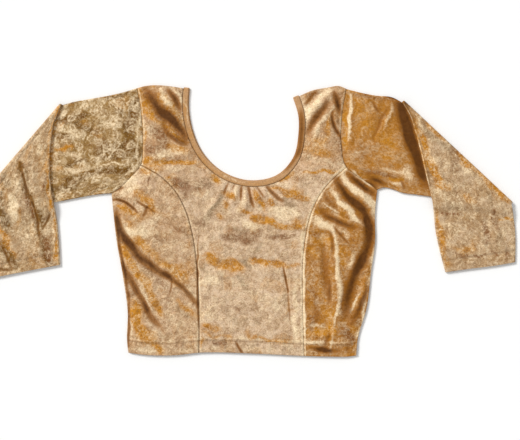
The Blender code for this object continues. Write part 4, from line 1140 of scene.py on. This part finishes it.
class SleeveForm:
    """The surface of one sleeve, as rings from the armhole over the elbow's crease to the cuff."""

    def __init__(self, side):
        self.cut = Sleeve(*(Curve(points) for points in SLEEVES[side]))
        self.sign = INWARD[side]
        self.armhole = ARM[side].beside(self.sign * HALF_SEAM)
        self.upper = sleeve_patch(self.armhole, self.cut.fold, self.cut.over, self.cut.under)
        self.lower = sleeve_patch(self.cut.fold, self.cut.cuff, self.cut.inner, self.cut.outer)
        self.seed, self.blotches = SLEEVE_NAPS[side]

    def upper_rings(self, s, profile):
        cut = self.cut
        plan, t, width = across_section(self.upper, s, profile)
        high = profile[:, 0] == UPPER_FACE
        away, reach, _ = distance_to(plan, cut.inner.line)
        covered = (plan[..., 0] - cut.inner(reach)[..., 0]) * self.sign > 0
        shows = np.where(covered, 0.0, smooth_step((away - COVER_CLEAR) / COVER_RUN))
        relief = sleeve_relief(plan, (self.armhole, cut.over, cut.under)) * shows
        height = profile[:, 2] + np.where(high, relief, 0.0)
        along = s[:, None] * ((1 - t) * cut.over.length + t * cut.under.length)
        edge = away_from(plan, cut.over, cut.under)
        free = np.where(covered, COVERED_RELIEF, 1.0)
        seam = away_from(plan, self.armhole)
        return Rings(plan, height, along, t * width, high, edge, seam, free)

    def lower_rings(self, s, profile):
        cut = self.cut
        plan, t, width = across_section(self.lower, s, profile)
        low = profile[:, 0] == UNDER_FACE
        body = cut.under.line * (self.sign, 1)
        below = np.interp(plan[..., 0] * self.sign, *body.T) - plan[..., 1]
        lift = 2 * ELBOW_AXIS - LAID_HEIGHT
        drop = lift * smooth_step((below - DROP_START) / DROP_RUN)
        relief = sleeve_relief(plan, (cut.fold, cut.inner, cut.outer))
        relief = relief * (1 - smooth_step((s[:, None] - CUFF_FADE) / (1 - CUFF_FADE)))
        cuff = away_from(plan, cut.cuff)
        turning = smooth_step((CUFF_DEPTH + HEM_BLEND / 2 - cuff) / HEM_BLEND)
        relief = relief + CUFF_RISE * turning
        height = 2 * ELBOW_AXIS - profile[:, 2] - drop + np.where(low, relief, 0.0)
        before = (1 - t) * cut.over.length + t * cut.under.length
        along = before + s[:, None] * ((1 - t) * cut.inner.length + t * cut.outer.length)
        edge = away_from(plan, cut.inner, cut.outer)
        return Rings(plan, height, along, t * width, low, edge, cuff, np.ones(plan.shape[:-1]))

    def dressed(self, rings, at_arm):
        """Adds the nap with its painted light and shade, and small relief, to some rings, and returns
        their points and that nap.
        """
        showing = np.broadcast_to(rings.showing, rings.height.shape)
        around = np.where(showing, rings.around, -rings.around - HIDDEN_AROUND)
        cloth = np.stack([around, rings.along], axis=-1)
        where = np.where(showing[..., None], rings.plan, rings.plan + HIDDEN_SHIFT)
        found = nap_and_painted_light(where, cloth, SLEEVE_MARKS, self.seed, self.blotches)
        small = small_relief(cloth, found, self.seed) * smooth_step(rings.edge / RELIEF_RUN)
        small = small * smooth_step(rings.seam / RELIEF_RUN)
        if at_arm:
            found["seam"] = ARM_SHADE[0] * band(rings.seam, ARM_SHADE[1])
            dip = SEAM_DIP * band(rings.seam, SEAM_ROUND)
        else:
            found["seam"] = CUFF_SHADE[0] * band(rings.seam - CUFF_DEPTH, CUFF_SHADE[1])
            dip = STITCH_GROOVE * band(rings.seam - CUFF_DEPTH, STITCH_ROUND)
        hidden = np.clip(HIDDEN_RELIEF * small, 0, 1)
        height = rings.height + np.where(showing, (small - dip) * rings.free, hidden)
        return np.dstack([rings.plan, height]), found


def repeated(found, row, count):
    """One ring's nap and painted light and shade for a number of rings."""
    return {key: np.repeat(values[row][None], count, axis=0) for key, values in found.items()}


def sleeve(side, material):
    form = SleeveForm(side)
    cut = form.cut
    profile = ring_profile(0.0)
    upper_s = spaced((cut.over.length + cut.under.length) / 2, SLEEVE_STEP, True, False)
    upper, upper_nap_and_light = form.dressed(form.upper_rings(upper_s, profile), True)
    outward = cut.fold.normal(0.5) * form.sign
    turns = np.linspace(0, math.pi, ELBOW_RINGS + 1)[1:-1, None]
    reach = ELBOW_AXIS - profile[:, 2]
    crease, _, _ = across_section(form.upper, np.array([1.0]), profile)
    plan = crease + outward * (reach * np.sin(turns))[..., None]
    elbow = np.dstack([plan, ELBOW_AXIS - reach * np.cos(turns)])
    lower_s = spaced((cut.inner.length + cut.outer.length) / 2, SLEEVE_STEP, False, True)
    lower, lower_nap_and_light = form.dressed(form.lower_rings(lower_s, profile), False)
    lips = []
    for depth, inset in LIP_STEPS:
        ring = form.lower_rings(np.array([1 - depth / cut.inner.length]), ring_profile(inset))
        lips.append(np.dstack([ring.plan, ring.height]))
    points = np.concatenate([upper, elbow, lower, *lips])
    nap_and_light_parts = (
        upper_nap_and_light,
        repeated(lower_nap_and_light, 0, len(turns)),
        lower_nap_and_light,
        repeated(lower_nap_and_light, -1, len(lips)),
    )
    found = {key: np.concatenate([part[key] for part in nap_and_light_parts]) for key in upper_nap_and_light}
    is_upper = np.zeros(points.shape[:2])
    is_upper[: len(upper)] = 1
    shares = zip(GROUND[side + "_upper"], GROUND[side + "_lower"])
    ground = Ground(*(low + (high - low) * is_upper for high, low in shares))
    return closed_mesh("velvet_sleeve_" + side, points, found, ground, material)


BINDING_ROUND = 0.6
BINDING_STEP = 1.5
BINDING_ANGLES = 5
BINDING_TURNS = 8
BINDING_STITCH_AT = 1.7
# Where the points of the binding's flat faces lie across it, and the sewn groove among them
BINDING_SHARES = (0.6, 0.45, 0.3, 0.0, -0.4, -0.75)
GROOVE_SHARE = 0.45
GROOVE_DEPTH = 0.12
# The binding's unevenness: its cell, seed and height
BINDING_RIPPLE = (5.0, 41, 0.1)
BINDING_BLOTCHES = 0.15
BINDING_SHADE = (0.5, 0.8)


def binding_section():
    """The binding's section, across and up from its own middle, with round edges and a groove."""
    half_thick = BINDING_THICK / 2
    run, rise = BINDING_WIDTH / 2 - BINDING_ROUND, half_thick - BINDING_ROUND
    points = []
    for number, (across, up) in enumerate(((1, 1), (-1, 1), (-1, -1), (1, -1))):
        for k in range(BINDING_ANGLES):
            turn = math.pi / 2 * (number + k / (BINDING_ANGLES - 1))
            x = across * run + BINDING_ROUND * math.cos(turn)
            points.append((x, up * rise + BINDING_ROUND * math.sin(turn)))
        if number in (0, 2):
            for share in BINDING_SHARES:
                dip = GROOVE_DEPTH * (share == GROOVE_SHARE)
                points.append((across * share * run, up * (half_thick - dip)))
    return np.array(points)


def neck_binding(material):
    """One closed band: along the front neckline, over a shoulder, back along the back one."""
    front_mid = BINDING_LOW + 2 * BINDING_TURN
    axis = BINDING_LOW + BINDING_TURN
    front_offset = -BINDING_WIDTH / 2
    back_offset = BACK_NECK_SHOWS - BINDING_WIDTH / 2
    between = back_offset - front_offset
    fractions = spaced(NECK_LINE.length, BINDING_STEP, False, False)
    shares = np.linspace(0, 1, BINDING_TURNS + 1)[1:-1]
    # Each station: its fraction along the neck, its offset, how far it has turned and which end
    stations = [(fraction, front_offset, 0.0, 1) for fraction in fractions]
    stations += [(1.0, front_offset + between * share, math.pi * share, 1) for share in shares]
    stations += [(fraction, back_offset, math.pi, 1) for fraction in fractions[::-1]]
    stations += [(0.0, back_offset - between * share, math.pi * (1 - share), -1) for share in shares]
    fraction, offset, turn, end = np.array(stations).T
    across, up = binding_section().T[:, None]
    aside = NECK_LINE.normal(fraction)
    ahead = np.stack([aside[:, 1], -aside[:, 0]], axis=-1) * end[:, None]
    reach = front_mid - axis + up
    plan = NECK_LINE(fraction)[:, None] + aside[:, None] * (offset[:, None] + across)[..., None]
    plan = plan + ahead[:, None] * (reach * np.sin(turn)[:, None])[..., None]
    height = axis + reach * np.cos(turn)[:, None]
    cell, seed, uneven = BINDING_RIPPLE
    ripple = noise(plan, cell, seed) * uneven * (np.abs(turn - math.pi / 2) > 1)[:, None]
    points = np.dstack([plan, height + ripple * np.sign(np.cos(turn))[:, None]])
    found = nap_and_painted_light(plan, plan, BINDING_MARKS, SEEDS["binding"], BINDING_BLOTCHES)
    found["area"] = found["area"] * 0
    found["lines"] = found["lines"] * 0
    off_seam = np.broadcast_to(across, height.shape) + BINDING_WIDTH / 2
    found["seam"] = BINDING_SHADE[0] * band(off_seam, BINDING_SHADE[1])
    return closed_mesh("velvet_binding", points, found, GROUND["binding"], material, True)


STITCH_LONG = 2.1
STITCH_SPACING = 3.0
STITCH_RADIUS = 0.24
STITCH_SIDES = 6
STITCH_RINGS = ((-0.5, 0.25), (-0.3, 0.9), (0.0, 1.0), (0.3, 0.9), (0.5, 0.25))
STITCH_RISE = 0.5 * STITCH_RADIUS
NECK_STITCH_RISE = 0.02
# The depths of the twin rows of a hem or cuff, and how finely a row's path is read
TWIN = (15.9, 17.9)
HEM_ROW = (0.012, 0.988, 260)
NECK_ROW = (0.01, 0.99, 400)


def stitches(name, path, material):
    """A row of sewn stitches along points on the cloth, as one mesh of small rounded threads."""
    steps = np.linalg.norm(np.diff(path, axis=0), axis=1)
    at = np.concatenate([[0], np.cumsum(steps)])
    middles = np.arange(STITCH_SPACING, at[-1] - STITCH_SPACING, STITCH_SPACING)
    turns = [2 * math.pi * k / STITCH_SIDES for k in range(STITCH_SIDES)]
    points, faces = [], []
    for middle in middles:
        start, end = (
            np.array([np.interp(middle + side * STITCH_LONG / 2, at, path[:, k]) for k in range(3)])
            for side in (-1, 1)
        )
        way = (end - start) / np.linalg.norm(end - start)
        aside = np.cross((0, 0, 1), way)
        aside = aside / np.linalg.norm(aside)
        upward = np.cross(way, aside)
        first = len(points)
        for share, size in STITCH_RINGS:
            centre = (start + end) / 2 + way * share * STITCH_LONG
            for turn in turns:
                spread = aside * math.cos(turn) + upward * math.sin(turn)
                points.append(centre + spread * STITCH_RADIUS * size)
        last = len(points) - STITCH_SIDES
        for low in range(first, last, STITCH_SIDES):
            high = low + STITCH_SIDES
            for k in range(STITCH_SIDES):
                follows = (k + 1) % STITCH_SIDES
                faces.append((low + k, low + follows, high + follows, high + k))
        faces.append(tuple(first + k for k in reversed(range(STITCH_SIDES))))
        faces.append(tuple(last + k for k in range(STITCH_SIDES)))
    return linked(name, smooth_mesh(name, np.array(points), faces, material))


def hem_stitches(material):
    """The twin rows above the front's hem."""
    rows = []
    for number, depth in enumerate(TWIN, 1):
        plan = HEM_LINE.beside(depth)(np.linspace(*HEM_ROW))
        height, _ = front_surface(plan, SEEDS["centre"])
        path = np.column_stack([plan, height + STITCH_RISE])
        rows.append(stitches(f"hem_stitches_{number}", path, material))
    return rows


def cuff_stitches(side, material):
    """The twin rows above a cuff, on the side that shows."""
    form = SleeveForm(side)
    profile = ring_profile(0.0)
    rows = []
    for number, depth in enumerate(TWIN, 1):
        rings = form.lower_rings(np.array([1 - depth / form.cut.inner.length]), profile)
        path = form.dressed(rings, False)[0][0][rings.showing]
        path[:, 2] += STITCH_RISE
        rows.append(stitches(f"cuff_stitches_{side}_{number}", path, material))
    return rows


def neck_stitches(material):
    """The row that holds the binding down, just inside its seam."""
    plan = NECK_LINE.beside(-BINDING_WIDTH + BINDING_STITCH_AT)(np.linspace(*NECK_ROW))
    height = 2 * BINDING_LOW + 2 * BINDING_TURN + NECK_STITCH_RISE
    return stitches("neck_stitches", np.column_stack([plan, np.full(len(plan), height)]), material)


# Colours of the pile as they show, in sRGB from 0 to 255. The palest is painted highlight, the grey,
# the valley flank and the darkest painted shade, and brown and olive partly painted shade
CHAMPAGNE = (219, 190, 158)
GOLD = (172, 113, 36)
OLIVE_GROUND = (150, 116, 58)
AMBER = (194, 130, 30)
HIGHLIGHT_CREAM = (250, 226, 186)
SOFT_SHADE = (150, 126, 94)
BROWN = (128, 76, 28)
OLIVE = (120, 82, 24)
FLANK_SHADE = (146, 90, 24)
VALLEY_SHADE = (74, 38, 5)
SEAM_SHADE = (92, 56, 22)
THREAD = (190, 150, 98)
FLOOR_TONE = (250, 250, 249)
# What the shade between tufts multiplies a colour by: blue goes first
WARM_SHADE = (0.58, 0.47, 0.34, 1.0)
# The velvet's noises: lumps to a metre, then detail, roughness and distortion
VELVET_NOISES = {
    "grain": (480.0, 3.0, 0.7, 0.0),
    "lumps": (150.0, 4.0, 0.6, 0.8),
    "broad": (38.0, 3.0, 0.6, 0.5),
    "fibres": (2100.0, 2.0, 0.6, 0.0),
    "crushed": (150.0, 3.0, 0.5, 1.5),
    "mottled": (110.0, 6.0, 0.68, 0.6),
}
TWIST_NOISE = (1800.0, 2.0, 0.6, 0.0)


def linear(colour):
    """An sRGB colour from 0 to 255 as linear values with alpha."""
    share = np.array(colour, float) / 255
    return (*np.where(share <= 0.04045, share / 12.92, ((share + 0.055) / 1.055) ** 2.4), 1.0)


class Nodes:
    """Short ways to add and link shader nodes."""

    def __init__(self, material):
        material.use_nodes = True
        self.tree = material.node_tree
        self.shader = self.tree.nodes["Principled BSDF"]

    def add(self, kind, settings=(), **inputs):
        node = self.tree.nodes.new(kind)
        for name, value in dict(settings).items():
            setattr(node, name, value)
        for name, value in inputs.items():
            self.put(node.inputs[name.replace("_", " ")], value)
        return node

    def put(self, socket, value):
        if isinstance(value, bpy.types.NodeSocket):
            self.tree.links.new(value, socket)
        else:
            socket.default_value = value

    def finish(self, values):
        """Sets the shader's own sockets by name."""
        for name, value in values.items():
            self.put(self.shader.inputs[name], value)

    def math(self, operation, first, second=0.5, clamp=False):
        node = self.add("ShaderNodeMath", {"operation": operation, "use_clamp": clamp})
        self.put(node.inputs[0], first)
        self.put(node.inputs[1], second)
        return node.outputs[0]

    def plus(self, first, second, clamp=False):
        return self.math("ADD", first, second, clamp)

    def times(self, first, second, clamp=False):
        return self.math("MULTIPLY", first, second, clamp)

    def centred(self, value, amount):
        """A noise value as a swing about 0."""
        return self.times(self.math("SUBTRACT", value, 0.5), amount)

    def stepped(self, value, low, high, bottom, top):
        """A value's smooth step from bottom to top between low and high."""
        node = self.add("ShaderNodeMapRange", {"interpolation_type": "SMOOTHSTEP"}, Value=value)
        names = ("From Min", "From Max", "To Min", "To Max")
        for name, number in zip(names, (low, high, bottom, top)):
            node.inputs[name].default_value = number
        return node.outputs["Result"]

    def near(self, value, middle, inner, outer):
        """1 where a value is about some middle, and 0 from a distance from it."""
        away = self.math("ABSOLUTE", self.math("SUBTRACT", value, middle))
        return self.stepped(away, inner, outer, 1.0, 0.0)

    def mix(self, share, first, second, blend="MIX"):
        node = self.add("ShaderNodeMix", {"data_type": "RGBA", "blend_type": blend})
        self.put(node.inputs[0], share)
        self.put(node.inputs[6], first)
        self.put(node.inputs[7], second)
        return node.outputs[2]

    def noise(self, place, scale, detail, roughness, distortion):
        node = self.add(
            "ShaderNodeTexNoise", Vector=place, Scale=scale, Detail=detail, Roughness=roughness,
            Distortion=distortion,
        )
        return node.outputs["Fac"]

    def layer(self, name):
        node = self.add("ShaderNodeAttribute", {"attribute_name": name})
        parts = self.add("ShaderNodeSeparateColor", Color=node.outputs["Color"])
        return [*(parts.outputs[k] for k in range(3)), node.outputs["Alpha"]]

    def place(self):
        return self.add("ShaderNodeTexCoord").outputs["Object"]

    def bump(self, height, strength, distance):
        node = self.add("ShaderNodeBump", Strength=strength, Distance=distance, Height=height)
        return node.outputs["Normal"]


def velvet(name):
    """Crushed velvet: tones from the nap with painted light and shade, broken up by grain, with
    pressed lines and pile.
    """
    material = bpy.data.materials.new(name)
    nodes = Nodes(material)
    plus, times, centred, stepped = nodes.plus, nodes.times, nodes.centred, nodes.stepped
    place = nodes.place()
    rows = VELVET_NOISES.values()
    grain, lumps, broad, fibres, crushed, mottled = (nodes.noise(place, *row) for row in rows)
    deep, amber, pale, grey = nodes.layer("nap_and_painted_light")
    brown, olive, lines, area = nodes.layer("pile_and_shade")
    gold, seam, drab, crush = nodes.layer("ground")

    def shaken(mask, by_lumps, by_grain, low, high, strength):
        """A mask whose slope is broken up by the lumps and the grain."""
        swing = plus(centred(lumps, by_lumps), centred(grain, by_grain))
        swing = times(swing, times(mask, 3.0, clamp=True))
        return stepped(plus(mask, swing), low, high, 0.0, strength)

    def shaded(share, colour):
        return nodes.mix(share, colour, WARM_SHADE, "MULTIPLY")

    # The ground, from champagne to gold, and olive where the cloth is drab
    wander = plus(centred(broad, 1.5), centred(lumps, 1.3))
    tone = plus(gold, times(wander, crush), clamp=True)
    colour = nodes.mix(tone, linear(CHAMPAGNE), linear(GOLD))
    colour = nodes.mix(plus(drab, centred(broad, 0.4), clamp=True), colour, linear(OLIVE_GROUND))
    # The nap's darker tones, grey being painted soft shade and olive and brown partly painted shade:
    # each mask's grain, upper step and strength
    for mask, shade, by_grain, high, strength in (
        (grey, SOFT_SHADE, 0.3, 0.72, 0.7), (amber, AMBER, 0.1, 0.6, 0.95),
        (olive, OLIVE, 0.3, 0.5, 0.9), (brown, BROWN, 0.2, 0.62, 0.75),
    ):
        mask = shaken(mask, 0.6, by_grain, 0.02, high, strength)
        colour = nodes.mix(mask, colour, linear(shade))
    # The pressed pattern, dark on pale cloth and lit on gold, and painted highlights where the pile
    # faces the light, in marks, in flecks and beside the veins
    colour = nodes.mix(times(area, 0.14), colour, linear(BROWN))
    broken = times(lines, stepped(lumps, 0.38, 0.54, 0.2, 1.0))
    colour = shaded(times(broken, stepped(tone, 0.1, 0.5, 0.7, 0.0)), colour)
    colour = nodes.mix(shaken(pale, 0.7, 0.7, 0.1, 0.9, 0.85), colour, linear(HIGHLIGHT_CREAM))
    lit = plus(times(drab, 0.6), stepped(tone, 0.1, 0.5, 0.15, 0.26))
    pale_flecks = times(stepped(mottled, 0.40, 0.46, 0.4, 0.0), crush)
    lips = times(nodes.near(crushed, 0.58, 0.01, 0.055), stepped(crush, 0.2, 0.5, 0.1, 0.28))
    for share in (times(broken, lit), pale_flecks, lips):
        colour = nodes.mix(share, colour, linear(HIGHLIGHT_CREAM))
    # Painted shade in the valleys, from their flanks to their depths
    flank = nodes.mix(times(drab, 1.6, clamp=True), linear(FLANK_SHADE), linear(OLIVE))
    colour = nodes.mix(shaken(deep, 0.3, 0.3, 0.03, 0.6, 0.85), colour, flank)
    colour = nodes.mix(shaken(deep, 0.4, 0.4, 0.5, 1.1, 0.85), colour, linear(VALLEY_SHADE))
    # The shade between tufts, in flecks and veins, then the seams and the grain
    colour = shaded(times(stepped(mottled, 0.52, 0.58, 0.0, 0.6), crush), colour)
    veins = nodes.near(crushed, 0.5, 0.005, 0.05)
    colour = shaded(times(veins, stepped(crush, 0.0, 0.5, 0.05, 0.6)), colour)
    colour = nodes.mix(seam, colour, linear(SEAM_SHADE))
    colour = nodes.mix(1.0, colour, stepped(grain, 0.3, 0.7, 0.84, 1.14), "MULTIPLY")
    height = plus(times(grain, 0.7), times(fibres, 0.25))
    nodes.finish({
        "Base Color": colour,
        "Roughness": plus(centred(grain, 0.3), 0.58),
        "Sheen Weight": 0.05,
        "Sheen Roughness": 0.35,
        "Sheen Tint": linear(HIGHLIGHT_CREAM),
        "Specular IOR Level": 0.12,
        "Normal": nodes.bump(height, 0.4, 0.0006),
    })
    return material


def thread():
    """Twisted sewing thread."""
    material = bpy.data.materials.new("thread")
    nodes = Nodes(material)
    twist = nodes.noise(nodes.place(), *TWIST_NOISE)
    shade = nodes.plus(nodes.times(twist, 0.5), 0.7)
    nodes.finish({
        "Base Color": nodes.mix(1.0, linear(THREAD), shade, "MULTIPLY"),
        "Roughness": 0.45,
        "Normal": nodes.bump(twist, 0.5, 0.0002),
    })
    return material


CAMERA_HEIGHT = 1.5
SENSOR = 36.0
FLOOR_SIZE = 3.0
FLOOR_BELOW = 0.0005
KEY_STRENGTH = 2.6
KEY_SPREAD = math.radians(18)
KEY_FROM = (-1.3, 1.0, 1.25)
SKY = 0.56


def studio():
    """A pale floor, soft light from the upper left and a camera straight above, as in the photo."""
    scene = bpy.context.scene
    scene.view_settings.view_transform = "Standard"
    mesh = bpy.data.meshes.new("floor")
    corners = ((-1, -1), (1, -1), (1, 1), (-1, 1))
    points = [(x * FLOOR_SIZE, y * FLOOR_SIZE, -FLOOR_BELOW) for x, y in corners]
    mesh.from_pydata(points, [], [(0, 1, 2, 3)])
    material = bpy.data.materials.new("floor")
    Nodes(material).finish({"Base Color": linear(FLOOR_TONE), "Roughness": 0.9})
    mesh.materials.append(material)
    linked("floor", mesh)
    world = bpy.data.worlds.new("studio")
    world.use_nodes = True
    world.node_tree.nodes["Background"].inputs["Color"].default_value = (1.0, 1.0, 1.0, 1.0)
    world.node_tree.nodes["Background"].inputs["Strength"].default_value = SKY
    scene.world = world
    light = bpy.data.lights.new("key", "SUN")
    light.energy = KEY_STRENGTH
    light.angle = KEY_SPREAD
    key = linked("key", light)
    key.location = KEY_FROM
    key.rotation_euler = Vector(KEY_FROM).to_track_quat("Z", "Y").to_euler()
    camera = bpy.data.cameras.new("camera")
    camera.sensor_width = SENSOR
    camera.lens = SENSOR * CAMERA_HEIGHT / (PHOTO_WIDTH * MM_PER_PIXEL * MM)
    scene.camera = linked("camera", camera)
    middle = metres(np.array([*PHOTO_MIDDLE, 0.0]))
    scene.camera.location = (middle[0], middle[1], CAMERA_HEIGHT)


# What each cloth piece stands for and takes its finish from, and its cut, laid flat: width and
# length in metres and area in square metres. The binding isn't a free sheet, so it has no cut.
Piece = namedtuple("Piece", "node slot cut")
Cut = namedtuple("Cut", "width length area")
PIECES = {
    "velvet_back": Piece("back", "velvet_gold", Cut(0.380, 0.400, 0.1060)),
    "velvet_front_centre": Piece("front_centre", "velvet_pale", Cut(0.297, 0.400, 0.0575)),
    "velvet_side_left": Piece("front_side_left", "velvet_pale", Cut(0.126, 0.275, 0.0260)),
    "velvet_side_right": Piece("front_side_right", "velvet_gold", Cut(0.108, 0.272, 0.0228)),
    "velvet_sleeve_left": Piece("sleeve_left", "velvet_pale", Cut(0.330, 0.400, 0.0860)),
    "velvet_sleeve_right": Piece("sleeve_right", "velvet_gold", Cut(0.330, 0.400, 0.0800)),
    "velvet_binding": Piece("neck_binding", "binding", None),
}


def main():
    cloth = velvet("crushed_velvet")
    sewing = thread()
    made = [front_centre(cloth), back_panel(cloth)]
    for side in INWARD:
        made.append(front_side(side, cloth))
    for side in INWARD:
        made.append(sleeve(side, cloth))
    made.append(neck_binding(velvet("binding_velvet")))
    trim = {
        "velvet_front_centre": [*hem_stitches(sewing), neck_stitches(sewing)],
        "velvet_sleeve_left": cuff_stitches("left", sewing),
        "velvet_sleeve_right": cuff_stitches("right", sewing),
    }
    for row in sum(trim.values(), []):
        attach(row, "root")
    by_name = {piece.name: piece for piece in made}
    for name, about in PIECES.items():
        piece = by_name[name]
        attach(piece, "root")
        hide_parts(about.node)
        if about.cut:
            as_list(trim.get(name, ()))
    studio()


main()
